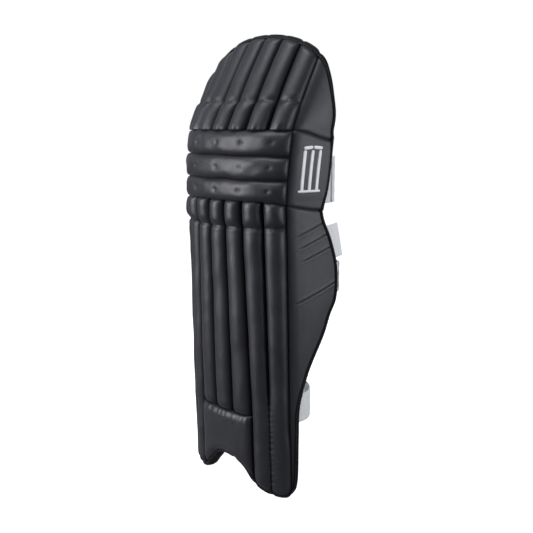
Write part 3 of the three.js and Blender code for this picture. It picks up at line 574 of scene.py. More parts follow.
# %% [markdown]
# ## Tape, webbing and lining
# The edge tape, the straps and the lining are woven, so their pattern has to follow the cloth.
# Each reads its own UV in metres: sine waves across and along give the threads, and one
# function serves every weave with its own thread size.

# %% Woven finishes


def woven(name, dark, light, thread, rough, strength, twill=0.0, sheen=0.25):
    recipe = Recipe(name)
    across, along = recipe.flat()
    turn = 2 * math.pi / thread
    warp = ((across + along * twill) * turn).sine()
    weft = ((along - across * twill) * turn).sine()
    weave = (warp * weft) * 0.5 + 0.5
    fuzz = recipe.noise(1800.0, 3.0, 0.6)
    soil = recipe.noise(16.0, 4.0, 0.6)
    valley = recipe.valley()
    # The soil noise is dirt; subtracting the valley paints shade into seams, strap edges and the lining's
    # border.
    tone = (weave * 0.45 + fuzz * 0.25 + soil * 0.45 - valley * 0.35).between(0.15, 0.8)
    recipe.set(
        Base_Color=recipe.blend(tone, dark, light),
        Roughness=rough + (soil - 0.5) * 0.1, Sheen_Weight=sheen, Sheen_Roughness=0.4,
        Normal=recipe.bump(weave * 0.7 + fuzz * 0.4, strength, thread * 0.35))
    return recipe.material


tape = woven("edge_tape", (0.0016, 0.0016, 0.002, 1), (0.0055, 0.0055, 0.0066, 1),
             0.0011, 0.72, 0.45, 0.0, 0.03)
tape.node_tree.nodes["Principled BSDF"].inputs["Specular IOR Level"].default_value = 0.15
webbing = woven("strap_webbing", (0.66, 0.66, 0.63, 1), (0.92, 0.92, 0.90, 1), 0.0016, 0.78, 0.8, 0.5)
lining = woven("brushed_lining", (0.60, 0.60, 0.58, 1), (0.86, 0.86, 0.83, 1), 0.0022, 0.9, 0.6, 0.3, 0.4)
label_cloth = woven("label_satin", (0.74, 0.74, 0.72, 1), (0.9, 0.9, 0.88, 1), 0.0006, 0.5, 0.25, 1.0, 0.2)
print("woven finishes made")

# %% [markdown]
# ## Small finishes
# Thread is twisted, so it has fine slanting ribs. Loop pile is a mat of tiny black hooks and
# loops, which looks like coarse dark noise. The foam has open cells, the cane has long brown
# fibres, and the badge is smooth moulded plastic with a faint orange-peel surface.

# %% Thread, pile, foam, cane and badge


def speckled(name, dark, light, scale, rough, strength, depth, stretch=1.0):
    recipe = Recipe(name)
    turned = recipe.node("ShaderNodeMapping", values={
        "Vector": recipe.place(), "Scale": (1.0, 1.0, stretch)})
    grit = recipe.node("ShaderNodeTexNoise", values={
        "Vector": turned, "Scale": scale, "Detail": 4.0, "Roughness": 0.65})
    cloud = recipe.noise(18.0, 3.0)
    recipe.set(
        Base_Color=recipe.blend((grit * 0.75 + cloud * 0.35).between(0.35, 0.75), dark, light),
        Roughness=rough + (grit - 0.5) * 0.12,
        Normal=recipe.bump(grit, strength, depth))
    return recipe.material


thread = speckled("black_thread", (0.006, 0.006, 0.007, 1), (0.03, 0.03, 0.034, 1), 1500.0, 0.5, 0.6, 0.0002)
pile = speckled("loop_pile", (0.004, 0.004, 0.005, 1), (0.03, 0.03, 0.033, 1), 1100.0, 0.95, 1.0, 0.0008)
foam = speckled("core_foam", (0.18, 0.19, 0.2, 1), (0.36, 0.37, 0.38, 1), 700.0, 0.95, 0.8, 0.0006)
cane = speckled("split_cane", (0.36, 0.22, 0.09, 1), (0.68, 0.49, 0.25, 1), 500.0, 0.5, 0.5, 0.0003, 0.03)
webbing_thread = speckled("white_thread", (0.62, 0.62, 0.6, 1), (0.88, 0.88, 0.86, 1),
                          1500.0, 0.6, 0.6, 0.0002)
badge_plastic = speckled("moulded_badge", (0.80, 0.80, 0.78, 1), (0.90, 0.90, 0.885, 1),
                         420.0, 0.38, 0.12, 0.0002)
print("small finishes made:", len(bpy.data.materials), "materials in all")

# %% [markdown]
# ## The core and the canes
# Foam sheets and split canes give the guard its stiffness. The cover hides them, and their
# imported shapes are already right, so they stay as they are and only get a finish.

# %% Hidden stiffeners
for roll in range(1, 8):
    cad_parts[f"shin_cane_{roll}"].material_slots[0].material = cane
for node_name in ("shin_core", "knee_core", "top_hat_core"):
    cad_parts[node_name].material_slots[0].material = foam
print("canes and cores finished")

# %% [markdown]
# ## Drawing the padded pieces
# A stuffed tube is widest in the middle and tucks under at its seams. `crown` is that section.
# The shape is drawn first in code, with its swellings, creases and dimples. A cloth
# simulation then lets the cover swell against its seams, which adds the small puckers that
# no formula gives. Each padded piece is kept as a drawing until all are ready, so that one
# simulation serves them all.

# %% How a padded piece is drawn
PAD_BACK, PAD_BASE, THINNEST = 0.5, 1.3, 0.9
drawings = []


def crown(share, square=2.05, round_by=0.58):
    return np.clip(1 - np.abs(2 * share - 1) ** square, 0, 1) ** round_by


def rounded(t, low, high, radius):
    inside = np.clip(np.minimum(t - low, high - t) / radius, 0, 1)
    return np.sqrt(1 - (1 - inside) ** 2)


def draw_pad(name, node, flat, height, back, material, body, ease, hold=None, cap=3.5, floor_share=0.0):
    s, z, share, row = flat
    rows, columns = s.shape
    pinned = np.zeros(s.shape)
    pinned[0, :] = pinned[-1, :] = pinned[:, 0] = pinned[:, -1] = 1
    if hold is not None:
        pinned = np.maximum(pinned, hold)
    top = np.abs(height - back).max()
    # Painted shade mask: 1 deep in each seam, where the pad tucks under, 0 on its crown; the hidden back face
    # is shaded all over.
    painted_seam_shade = 1 - smooth(np.abs(height - back) / (top * 0.72))
    # The top hat's seams get weaker painted shade.
    if body == "top_hat":
        painted_seam_shade = painted_seam_shade * 0.45
    drawings.append(dict(
        name=name, node=node, points=two_faces(s, z, height, back), uv=flat_uv(s, z),
        faces=shell_faces(rows, columns), pinned=np.concatenate([pinned.ravel(), np.ones(s.size)]),
        valley=np.concatenate([painted_seam_shade.ravel(), np.ones(s.size)]),
        material=material, body=body, ease=ease, cap=cap, rows=rows, columns=columns))


def flipped(flat):
    """Inner faces look the other way, so their columns run backwards."""
    return tuple(part[:, ::-1] for part in flat)


print("ready to draw")

# %% [markdown]
# ## Shin rolls
# Seven long tubes hold the canes. Each is pinched across by a crease under the knee, which
# leaves a fat short swelling above it, so the guard can bend there. The stuffing is never
# even, so the depth wanders a little along each tube. Low down, the last seam is quilted
# shallow, and its stitches pull small puckers.

# %% Draw the shin rolls


def shin_roll(roll):
    middle = 3 <= roll <= 5
    low = level_edge(INSTEP - 0.3) if middle else shin_foot

    def column(share, z):
        left, right = seam_line(roll - 1, z) - 0.35, seam_line(roll, z) + 0.35
        s = mix(left, right, share)
        s = s + 0.5 * fixed_noise(40, s * 0 + roll, z, 1.0, 26.0) * (0.5 - np.abs(share - 0.5)) * 2
        return np.clip(s, shin_edge(-1, z), shin_edge(1, z))

    flat = cut_out(column, low, lambda s: knee_bottom(s) + 0.4, 13, 116 if middle else 158)
    s, z, share, row = flat
    base = low(np.array([(seam_line(roll - 1, 0.0) + seam_line(roll, 0.0)) / 2]))[0]
    top = knee_bottom((seam_line(roll - 1, 450.0) + seam_line(roll, 450.0)) / 2)
    crease = SHIN_CREASE + 1.6 * np.sin(share * math.pi) + 1.0 * fixed_noise(9, s, z, 22, 500)
    swelling = mix(7.6, 15.0, rounded(z, crease, top + 2.5, 15.0))
    tube = mix(3.6, 12.2, rounded(z, base - (0 if middle else 14), crease + 6.0, 15.0))
    tube = mix(tube, 10.9, 0.65 * np.exp(-((z - crease + 9.0) / 7.0) ** 2))
    depth = np.where(z > crease, swelling, np.minimum(tube, mix(7.6, 12.2, smooth((crease - z) / 7))))
    uneven = 0.07 * fixed_noise(roll, s, z, 60, 34) + 0.035 * fixed_noise(20 + roll, s, z, 14, 17)
    depth = depth * (1 + uneven)
    section = crown(share)
    if roll >= 6:
        edge = share if roll == 7 else 1 - share
        shallow = 0.62 * smooth((185 - z) / 62) * (1 - smooth(edge * 1.7))
        if roll == 7:
            shallow = shallow + 0.42 * smooth((118 - z) / 40) * smooth(1.7 * share - 0.7)
        pucker = (1 + np.sin(z * 0.72 + 0.8 * np.sin(z * 0.11))) * np.exp(-edge * 5)
        section = shallow + (1 - shallow) * section - 0.11 * shallow * pucker
    pleat = np.exp(-((z - crease) / 5.0) ** 2) * (0.5 + 0.5 * np.cos(share * 5 * 2 * math.pi + roll))
    height = PAD_BASE + depth * section - 0.9 * pleat * section
    height = thinned(np.maximum(height, THINNEST), np.where(z < 90, gap_to(shin_rim, s, z), 99))
    draw_pad(f"shin_roll_cover_{roll}", f"shin_roll_{roll}", flat, height, PAD_BACK, cover, "shin",
             np.where(z > SHIN_CREASE - 10, 0.9, 0.35), cap=2.6)


for roll_number in range(1, 8):
    shin_roll(roll_number)
print("shin rolls drawn:", sum(len(d["points"]) for d in drawings), "points")

# %% [markdown]
# ## Instep pad
# One smooth pad spreads over the arch of the foot. Its top edge is gathered into the seam
# below the middle rolls, so it has short folds that fade out downwards.

# %% Draw the instep pad
half_instep = float(seam(1, 0.0))
flat = cut_out(lambda share, z: mix(-half_instep - 0.3, half_instep + 0.3, share),
               shin_foot, level_edge(INSTEP + 0.3), 44, 34)
s, z, share, row = flat
plump = rounded(s, -half_instep, half_instep, 15) ** 0.8 * rounded(z, shin_foot(s) - 14, INSTEP + 1.5, 13)
folds = np.sin(s * 0.58 + 1.6 * np.sin(s * 0.13)) + 0.6 * np.sin(s * 1.07 + 2.0)
height = PAD_BASE + mix(2.8, 12.2, plump) + folds * 0.6 * np.exp(-((INSTEP - 5 - z) / 9.5) ** 2) * (plump > 0)
height = thinned(height + 0.5 * fixed_noise(77, s, z, 26, 30) * plump, gap_to(shin_rim, s, z))
draw_pad("instep_cover", "instep_pad", flat, height, PAD_BACK, cover, "shin",
         np.where(z > INSTEP - 22, 1.0, 0.25), cap=2.6)
print("instep pad is", round(2 * half_instep), "mm wide")

# %% [markdown]
# ## Knee rolls
# Three rolls run across the knee so that it can bend. Fifteen small tacks hold the stuffing
# to the backing. Each pulls a dimple with a few folds running out of it.

# %% Draw the knee rolls
KNEE_DEPTH, DIMPLE_DEPTH, DIMPLE_RADIUS = 14.6, 1.8, 2.3
TACKS = [(s_at, z_at) for z_at in (468.5, 501.5, 536.0) for s_at in (-88.0, -42.0, 4.0, 48.0, 88.0)]


def dimple(s, z, centre, depth, radius):
    across, up = s - centre[0], z - centre[1]
    far = np.hypot(across, up)
    turn = np.arctan2(up, across)
    pit = np.exp(-(far / radius) ** 2) + 0.35 * np.exp(-(far / (radius * 2.2)) ** 2)
    spokes = 0.12 * np.cos(turn * 5 + centre[0]) * np.exp(-((far - radius) / radius) ** 2)
    return depth * (pit + spokes)


def wavy_seam(index, s):
    if index == 0:
        return knee_bottom(s)
    if index == 3:
        return KNEE_TOP + np.zeros(np.shape(s))
    wander = 1.1 * fixed_noise(50 + index, s, s * 0, 30, 10)
    return KNEE_SEAMS[index] + wander - 0.9 * smooth((s - 40) / 70)


for index in range(3):
    flat = cut_out(lambda share, z: mix(-HALF_WIDTH - 0.3, HALF_WIDTH + 0.3, share),
                   lambda s: wavy_seam(index, s) - 0.35, lambda s: wavy_seam(index + 1, s) + 0.35, 92, 15)
    s, z, share, row = flat
    ends = mix(0.62, 1, rounded(s, -HALF_WIDTH, HALF_WIDTH, 10))
    depth = KNEE_DEPTH * ends * (1 + 0.06 * fixed_noise(60 + index, s, z, 32, 40)
                           + 0.06 * fixed_noise(64 + index, s, z, 14, 12))
    shallow = mix(0.36, 0.62, smooth((-s - 5) / 60))
    height = PAD_BASE + depth * (shallow + (1 - shallow) * crown(row, 2.7, 0.6))
    held = np.zeros(s.shape)
    for tack in TACKS[index * 5:index * 5 + 5]:
        height = height - dimple(s, z, tack, DIMPLE_DEPTH, DIMPLE_RADIUS)
        held = np.maximum(held, (np.hypot(s - tack[0], z - tack[1]) < 2.4) * 1.0)
    draw_pad(f"knee_roll_cover_{index + 1}", f"knee_roll_{index + 1}", flat, np.maximum(height, THINNEST),
             PAD_BACK, cover, "knee", np.full(s.shape, 0.75), held, cap=3.0)
print("tacks on the knee:", len(TACKS))

# %% [markdown]
# ## Top hat rolls
# The top hat is the leaning part above the knee. It has the same crease near its foot, so
# seven short swellings sit above the knee rolls. The rolls thin out into the rim.

# %% Draw the top hat rolls


def top_roll(roll):
    left, right = float(seam_line(roll - 1, 600.0)) - 0.3, float(seam_line(roll, 600.0)) + 0.3
    flat = cut_out(lambda share, z: mix(left, right, share),
                   level_edge(KNEE_TOP - 0.3), top_edge, 13, 50)
    s, z, share, row = flat
    rim = top_edge(s)
    crease = TOP_CREASE + 3.4 * np.sin(share * math.pi) + fixed_noise(12, s, z, 20, 500)
    swelling = mix(8.4, 15.2, rounded(z, KNEE_TOP - 3.5, crease + 2, 15.0))
    tube = mix(3.2, 11.0, rounded(z, crease - 6.0, rim + 9.0, 12.0))
    depth = np.where(z < crease, swelling, np.minimum(tube, mix(8.4, 11.0, smooth((z - crease) / 11))))
    peak = np.exp(-((z - crease - 2) / 6.0) ** 2) * np.exp(-((share - 0.5) / 0.18) ** 2)
    depth = depth * (1 + 0.06 * fixed_noise(30 + roll, s, z, 50, 30)) + 1.8 * peak
    tuck = np.exp(-((z - KNEE_TOP - 2) / 7.0) ** 2) * np.sin(share * 6 * math.pi + roll)
    height = PAD_BASE + (depth + tuck) * crown(share)
    height = thinned(np.maximum(height, THINNEST), gap_to(top_rim, s, z), ramp=6.5)
    draw_pad(f"top_roll_cover_{roll}", f"top_hat_roll_{roll}", flat, height, PAD_BACK,
             cover, "top_hat", np.where(z < TOP_CREASE + 8, 0.9, 0.4), cap=2.6)


for roll_number in range(1, 8):
    top_roll(roll_number)
print("pieces drawn:", len(drawings))

# %% [markdown]
# ## Bolsters
# Four soft bolsters inside hold the guard off the shin and the knee. They face the leg, so
# their outer side is the one nearest the lining.

# %% Draw the bolsters
LINING_FACE = -9.3


def bolster(name, node, body, side, near, far, low, high, depth):
    across = lambda share, z: side * mix(near, far, share)
    flat = cut_out(across, level_edge(low), level_edge(high),
                   20, max(18, int((high - low) / 4.5)))
    if side > 0:
        flat = flipped(flat)
    s, z, share, row = flat
    plump = rounded(np.abs(s), near, far, (far - near) / 2) ** 0.85 * rounded(z, low, high, 17) ** 0.85
    height = LINING_FACE - 1.5 - (depth - 2.6) * plump * (1 + 0.06 * fixed_noise(80, s, z, 30, 40))
    draw_pad(name, node, flat, height, LINING_FACE, lining, body, np.full(s.shape, 0.5), cap=1.5)


for side, word in ((1, "outer"), (-1, "inner")):
    bolster(f"{word}_shin_bolster_cover", f"{word}_shin_bolster", "shin", side, 30, 76, 152, 403, 15)
    bolster(f"{word}_knee_bolster_cover", f"{word}_knee_bolster", "knee", side, 38, 98, 461, 543, 13)
print("pieces drawn:", len(drawings), "with", sum(len(d["points"]) for d in drawings), "points")

# %% [markdown]
# ## Letting the covers swell
# All the padded pieces go into one mesh for Blender's Cloth. Their backs, borders and tacks
# are pinned. The free cloth is cut slightly too large, by a negative shrink, and pressure
# pushes it out, so the spare cloth gathers along the seams. Twenty frames are enough. Each
# point may then move only a few millimetres from the drawing, so no cover can burst or sink
# into its neighbour.

# %% Swell the padded pieces


def swell(group):
    points = np.concatenate([d["points"] for d in group])
    starts = np.cumsum([0] + [len(d["points"]) for d in group])
    faces = np.concatenate([d["faces"] + start for d, start in zip(group, starts)])
    pinned = np.concatenate([d["pinned"] for d in group])
    ease = np.concatenate([np.concatenate([d["ease"].ravel() * np.ones(d["rows"] * d["columns"])] * 2)
                           for d in group])
    mesh = bpy.data.meshes.new("swelling")
    mesh.from_pydata((points * 10).tolist(), [], faces.tolist())
    body = bpy.data.objects.new("swelling", mesh)
    scene.collection.objects.link(body)
    pins, loose = body.vertex_groups.new(name="pins"), body.vertex_groups.new(name="loose")
    pins.add(np.nonzero(pinned > 0)[0].tolist(), 1.0, "REPLACE")
    for level in np.unique(ease.round(2)):
        loose.add(np.nonzero(np.abs(ease - level) < 0.006)[0].tolist(), float(level), "REPLACE")
    cloth = body.modifiers.new("cloth", "CLOTH")
    settings = cloth.settings
    settings.quality = 5
    settings.mass = 0.15
    settings.tension_stiffness = settings.compression_stiffness = 25
    settings.shear_stiffness = 8
    settings.bending_stiffness = 1.2
    settings.tension_damping = settings.compression_damping = 6
    settings.air_damping = 2
    settings.effector_weights.gravity = 0
    settings.vertex_group_mass = "pins"
    settings.use_pressure = True
    settings.uniform_pressure_force = 4
    settings.vertex_group_shrink = "loose"
    settings.shrink_min, settings.shrink_max = 0.0, -0.06
    cloth.collision_settings.use_collision = False
    cloth.collision_settings.use_self_collision = False
    cloth.point_cache.frame_start, cloth.point_cache.frame_end = 1, 20
    for step in range(1, 21):
        scene.frame_set(step)
    shape = body.evaluated_get(bpy.context.evaluated_depsgraph_get())
    swollen = np.zeros(len(points) * 3, np.float32)
    shape.data.vertices.foreach_get("co", swollen)
    bpy.data.objects.remove(body)
    scene.frame_set(1)
    moved = swollen.reshape(-1, 3) / 10 - points
    for d, start in zip(group, starts):
        step = moved[start:start + len(d["points"])]
        length = np.linalg.norm(step, axis=1)[:, None] + 1e-9
        d["points"] = d["points"] + step / length * np.tanh(length / (d["cap"] * MM)) * d["cap"] * MM
    return np.linalg.norm(moved, axis=1) * 1000


import time
began = time.time()
travel = swell(drawings)
print("swelling moved points by", travel.mean().round(2), "mm on average,", travel.max().round(1),
      "at most, in", round(time.time() - began), "s")

# %% [markdown]
# ## From drawings to covers
# Each swollen drawing becomes a mesh and gets one subdivision, which rounds the folds and
# closes the edges. In the real cover the crease lets the shin and top hat rolls bend between two
# bodies; here those pieces only have their place baked into the mesh and ride on no body.


def attach(piece, body, node, bends=False):
    if bends and body == "shin":
        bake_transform(piece)
    elif bends and body == "top_hat":
        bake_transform(piece)
    else:
        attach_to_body(piece, body)
    if node:
        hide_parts(node)
    return piece


for d in drawings:
    piece = make_piece(d["name"], d["points"], d["faces"], d["material"], d["uv"], {"valley": d["valley"]})
    subdivide(piece)
    bends = d["name"].startswith(("shin_roll", "top_roll"))
    soft = "bolster" in d["name"]
    attach(piece, d["body"], d["node"], bends)
print("padded covers:", len(drawings))

# %% [markdown]
# ## Wings and flat panels
# Behind the rolls the guard is flat: thin foam between two layers of coated cloth. The large
# outer wing has four lines pressed in with a hot tool. The grid is fine enough to carry them
# as real grooves. A little unevenness keeps the panels from looking like sheet metal.

# %% Draw the wings and panels
PRESSED = [((124, 401.5), (171, 419.5), 1.0), ((129, 384), (181, 404), 1.0),
           ((132, 365), (184, 383.5), 1.0), ((119, 303), (190, 329), 1.25)]


def line_distance(s, z, start, end):
    across, up = end[0] - start[0], end[1] - start[1]
    t = np.clip(((s - start[0]) * across + (z - start[1]) * up) / (across ** 2 + up ** 2), 0, 1)
    return np.hypot(s - start[0] - t * across, z - start[1] - t * up), t


def panel_piece(name, node, body, flat, front, back=-6.5, lines=(), near=0.0, bends=False):
    s, z, share, row = flat
    rows, columns = s.shape
    height = front(s, z, share, row)
    valley = np.zeros(s.shape)
    for start, end, strength in lines:
        far, t = line_distance(s, z, start, end)
        fade = strength * smooth(t * 4 + 0.25)
        groove, lip = np.exp(-(far / 0.9) ** 2), np.exp(-((far - 2.6) / 1.5) ** 2)
        height = height - 0.8 * fade * groove + 0.25 * fade * lip
        # The groove itself is real; the valley value adds painted shade along each pressed line.
        valley = np.maximum(valley, 0.4 * fade * np.exp(-(far / 1.0) ** 2))
    piece = make_piece(name, two_faces(s, z, height, back), shell_faces(rows, columns), panel,
                       flat_uv(s, z), {"valley": np.concatenate([valley.ravel(), np.zeros(s.size)])}, sharp=50)
    attach(piece, body, node, bends)
    return piece


def softened(distance, drop, radius):
    """How far a panel's face falls towards a sewn edge."""
    return drop * (1 - rounded(np.clip(distance, 0, radius), 0, radius * 4, radius))


def side_flat(side, edge, low, high, across, up):
    flat = cut_out(lambda share, z: mix(side * np.minimum(seam(3, z) + 0.1, np.abs(edge(side, z)) - 1),
                                        edge(side, z), share), low, high, across, up)
    return flat if side > 0 else flipped(flat)


def wing_face(side):
    def face(s, z, share, row):
        seam_gap = np.abs(s) - seam(3, z)
        rear_gap = np.abs(shin_edge(side, z) - s)
        top_gap = knee_bottom(s) - z
        height = 5.0 - softened(seam_gap, 2.6, 6) - softened(top_gap, 2.4, 5) - 0.5 * softened(rear_gap, 2, 5)
        pillow = 0.9 * smooth(seam_gap / 26) * smooth(rear_gap / 26)
        return height + pillow + 0.35 * fixed_noise(90, s, z, 34, 48) * smooth(rear_gap / 15)
    return face


outer_wing = panel_piece(
    "outer_wing_cover", "outer_wing", "shin",
    side_flat(1, shin_edge, shin_foot, lambda s: knee_bottom(s) + 0.3, 60, 300),
    wing_face(1), lines=PRESSED, bends=True)
panel_piece(
    "inner_wing_cover", "inner_wing", "shin",
    side_flat(-1, shin_edge, shin_foot, lambda s: knee_bottom(s) + 0.3, 26, 150), wing_face(-1), bends=True)
print("outer wing faces:", len(outer_wing.data.polygons))

# %% Knee and top hat panels


def panel_face(gaps_at, soft_edges, rear_drop, puff, reaches, noise_seed, noise_size):
    """A face that falls to its sewn edges and swells a little between them."""
    def face(s, z, share, row):
        gaps = gaps_at(s, z)
        height = 5.0 - sum(softened(gap, 2.2, 6) for gap in gaps[:soft_edges]) \
            - softened(gaps[soft_edges], rear_drop, 4)
        swell_by = smooth(gaps[0] / reaches[0]) * smooth(gaps[1] / reaches[1]) * smooth(gaps[2] / reaches[2])
        return height + puff * swell_by + 0.3 * fixed_noise(noise_seed, s, z, *noise_size)
    return face


def knee_face(side):
    return panel_face(lambda s, z: (np.abs(s) - HALF_WIDTH, z - knee_bottom(s), knee_top(s) - z,
                                    np.abs(knee_edge(side, z) - s)),
                      3, 0.8, 1.0, (22, 22, 22), 95, (30, 30))


def top_face():
    return panel_face(lambda s, z: (np.abs(s) - HALF_WIDTH, z - knee_top(s), top_edge(s) - z),
                      2, 0.6, 1.1, (20, 20, 24), 97, (32, 36))


for side, word in ((1, "outer"), (-1, "inner")):
    panel_piece(f"{word}_knee_panel_cover", f"{word}_knee_panel", "knee",
                side_flat(side, knee_edge, lambda s: knee_bottom(s) - 0.2, lambda s: knee_top(s) + 0.2, 40, 56),
                knee_face(side))
    reach = float(top_side(side, KNEE_TOP + 2.0))
    flat = cut_out(lambda share, z: mix(side * (HALF_WIDTH + 0.1), reach, share),
                   lambda s: knee_top(s) - 0.2, lambda s: np.maximum(top_edge(s), knee_top(s) + 1.0), 40, 60)
    panel_piece(f"{word}_top_panel_cover", f"{word}_top_panel", "top_hat",
                flat if side > 0 else flipped(flat), top_face(), bends=True)
print("panels made")

# %% [markdown]
# ## White lining
# The leg side is lined with a brushed white cloth. It is one sheet for each part of the
# guard, glued at the edges and a little loose in between, so it is drawn as a thin sheet with
# soft waves. Its width and height with a seam allowance, and its grid's diagonals, are worked
# out but not used.

# %% Lining sheets
SEAM_ALLOWANCE, LEAN_LENGTH = 1.03, 1.14


def lining_sheet(name, node, body, flat, bends=False):
    s, z, share, row = flat
    rows, columns = s.shape
    border = np.minimum(np.minimum(share, 1 - share), np.minimum(row, 1 - row))
    loose = smooth(border * 9)
    wave = (0.55 * fixed_noise(101, s, z, 26, 40) + 0.3 * fixed_noise(102, s, z, 11, 15)) * loose
    points = two_faces(s, z, -7.4, -8.4 - 0.5 * np.abs(wave))
    # Painted shade: the valley value, 1 at the glued border and 0 where the sheet hangs loose, darkens the
    # lining along its edges.
    sheet = make_piece(name, points, shell_faces(rows, columns), lining, flat_uv(s, z),
                       {"valley": np.concatenate([1 - loose.ravel()] * 2)}, sharp=60)
    middle = place(s, z, -8.0)
    a, b = middle[1:, 1:] - middle[:-1, :-1], middle[1:, :-1] - middle[:-1, 1:]
    wide, tall = float(np.ptp(s)) * MM * SEAM_ALLOWANCE, float(np.ptp(z)) * MM * SEAM_ALLOWANCE
    if body == "top_hat":
        tall *= LEAN_LENGTH
    attach(sheet, body, node, bends)


def full_width(edge_low, edge_high):
    return lambda share, z: mix(edge_low(z), edge_high(z), share)


lining_sheet("shin_lining_cloth", "shin_lining", "shin", cut_out(
    full_width(lambda z: shin_edge(-1, z), lambda z: shin_edge(1, z)), shin_foot,
    lambda s: knee_bottom(s) + 0.2, 90, 130), bends=True)
lining_sheet("knee_lining_cloth", "knee_lining", "knee", cut_out(
    full_width(lambda z: knee_edge(-1, z), lambda z: knee_edge(1, z)), knee_bottom, knee_top, 90, 32))
low_reach = [float(top_side(side, KNEE_TOP + 2.0)) for side in (-1, 1)]
lining_sheet("top_lining_cloth", "top_hat_lining", "top_hat", cut_out(
    lambda share, z: mix(low_reach[0], low_reach[1], share), knee_top,
    lambda s: np.maximum(top_edge(s), knee_top(s) + 1.0), 90, 44), bends=True)

# %% [markdown]
# ## Edge tape
# A folded tape closes all the layers at the rim. It is a section swept along the rim: round
# over the outside, flat where it lies on the two faces. It dips a little where each seam
# ends, because the seam pulls the layers thin there, and it wrinkles slightly in the curves.

# %% Sweep the tape
FOLD = [(5.6, 5.3), (4.6, 6.2), (2.6, 6.6), (0.9, 6.1), (-0.1, 4.2), (-0.5, 1.2), (-0.6, -1.8),
        (-0.5, -4.8), (-0.1, -7.9), (0.9, -9.8), (2.6, -10.3), (4.6, -9.9), (5.6, -9.0),
        (5.4, -6.5), (5.2, -2.0), (5.2, 2.5)]


def loft(name, rings, material, uv, close=True, sharp=None, values=None):
    count, around = rings.shape[:2]
    at = np.arange(count * around).reshape(count, around)
    a, b = at[:-1], np.roll(at, -1, 1)[:-1]
    c, d = np.roll(at, -1, 1)[1:], at[1:]
    faces = np.stack([a, b, c, d], -1).reshape(-1, 4).tolist()
    if close:
        faces += [at[0, ::-1].tolist(), at[-1].tolist()]
    piece = make_piece(name, rings.reshape(-1, 3), faces, material, uv.reshape(-1, 2), values, sharp)
    mesh = piece.data
    outward = np.array(mesh.polygons[5].center) - rings[0].mean(0)
    if np.array(mesh.polygons[5].normal) @ outward < 0:
        mesh.flip_normals()
    return piece


def dips(rim, foot):
    s, z = rim[:, 0], rim[:, 1]
    total = np.zeros(len(rim))
    for line in range(8):
        total += np.exp(-((s - seam_line(line, z)) / 3.4) ** 2)
    return total * (z < 60 if foot else z > KNEE_TOP + 8)


def lengthened(rim, extra):
    head, tail = rim[0] - rim[1], rim[-1] - rim[-2]
    return np.concatenate([[rim[0] + head / np.linalg.norm(head) * extra], rim,
                           [rim[-1] + tail / np.linalg.norm(tail) * extra]])


def tape_piece(name, node, body, rim, inward, foot=False, bends=False):
    rim = lengthened(rim, 2.9)
    steps = np.concatenate([[0], np.cumsum(np.linalg.norm(np.diff(rim, axis=0), axis=1))])
    along = np.linspace(0, steps[-1], int(steps[-1] / 2.2))
    rim = np.stack([np.interp(along, steps, rim[:, k]) for k in (0, 1)], 1)
    dip = dips(rim, foot)
    lines = []
    for d, n in FOLD:
        slack = 0.16 * np.sin(along * 1.1 + 2 * np.sin(along * 0.13)) * (abs(n) > 4)
        moved = inset(rim, inward * (d + 1.3 * dip * (1.0 if d < 3 else 0.6)))
        squeeze = 1 - 0.12 * dip
        lines.append(place(moved[:, 0], moved[:, 1], (n + np.sign(n) * slack) * squeeze))
    rings = np.stack(lines, 1)
    round_it = np.cumsum([0] + [math.dist(FOLD[k], FOLD[k + 1]) for k in range(len(FOLD) - 1)])
    uv = np.stack(np.broadcast_arrays(round_it[None, :], along[:, None]), -1) * MM
    piece = loft(name, rings, tape, uv)
    attach(piece, body, node, bends)
    return rim, dip


tapes = {
    "shin": [tape_piece("shin_edge_tape", "shin_binding", "shin", shin_rim, -1, foot=True, bends=True) + (-1,)],
    "knee": [tape_piece("outer_knee_edge_tape", "outer_knee_binding", "knee", knee_rims[1], 1) + (1,),
             tape_piece("inner_knee_edge_tape", "inner_knee_binding", "knee", knee_rims[-1], 1) + (1,)],
    "top_hat": [tape_piece("top_edge_tape", "top_hat_binding", "top_hat", top_rim, 1, bends=True) + (1,)],
}
print("tape swept on", sum(len(t) for t in tapes.values()), "rims")

# %% [markdown]
# ## Badge and care label
# The badge is a plain wicket, three stumps under a pair of bails, moulded in white plastic
# with rounded edges. The care label is a blank folded tag caught in the rear seam, a little
# askew, as such tags end up.

# %% Badge


def plate(name, centre, size, low_n, thick, material, corner=2.2, turn=0.0, wave=0.0,
          grid=(14, 26), dome=0.25):
    """A flat tag with round corners: a grid squeezed into a rounded rectangle."""
    u, v = np.meshgrid(np.linspace(-1, 1, grid[0] + 1), np.linspace(-1, 1, grid[1] + 1))
    half_w, half_h = size[0] / 2, size[1] / 2
    x, y = u * half_w, v * half_h
    inner_x, inner_y = half_w - corner, half_h - corner
    over_x, over_y = np.clip(np.abs(x) - inner_x, 0, None), np.clip(np.abs(y) - inner_y, 0, None)
    reach, square = np.hypot(over_x, over_y), np.maximum(over_x, over_y)
    shrink = np.where(reach > 1e-6, square / np.maximum(reach, 1e-6), 1)
    x = np.sign(x) * (np.minimum(np.abs(x), inner_x) + over_x * shrink)
    y = np.sign(y) * (np.minimum(np.abs(y), inner_y) + over_y * shrink)
    cos, sin = math.cos(math.radians(turn)), math.sin(math.radians(turn))
    s, z = centre[0] + x * cos - y * sin, centre[1] + x * sin + y * cos
    edge = np.minimum(1 - np.abs(u), (1 - np.abs(v)) * size[1] / size[0])
    bend = wave * np.sin(u * 2.2 + v * 1.3)
    face = low_n + thick * mix(0.55, 1, rounded(edge, 0, 9, 0.18)) + dome * (1 - u ** 2) + bend
    points = two_faces(s, z, face, low_n + bend)
    return make_piece(name, points, shell_faces(grid[1] + 1, grid[0] + 1), material,
                      flat_uv(x, y), {"valley": np.zeros(len(points))}, sharp=55)


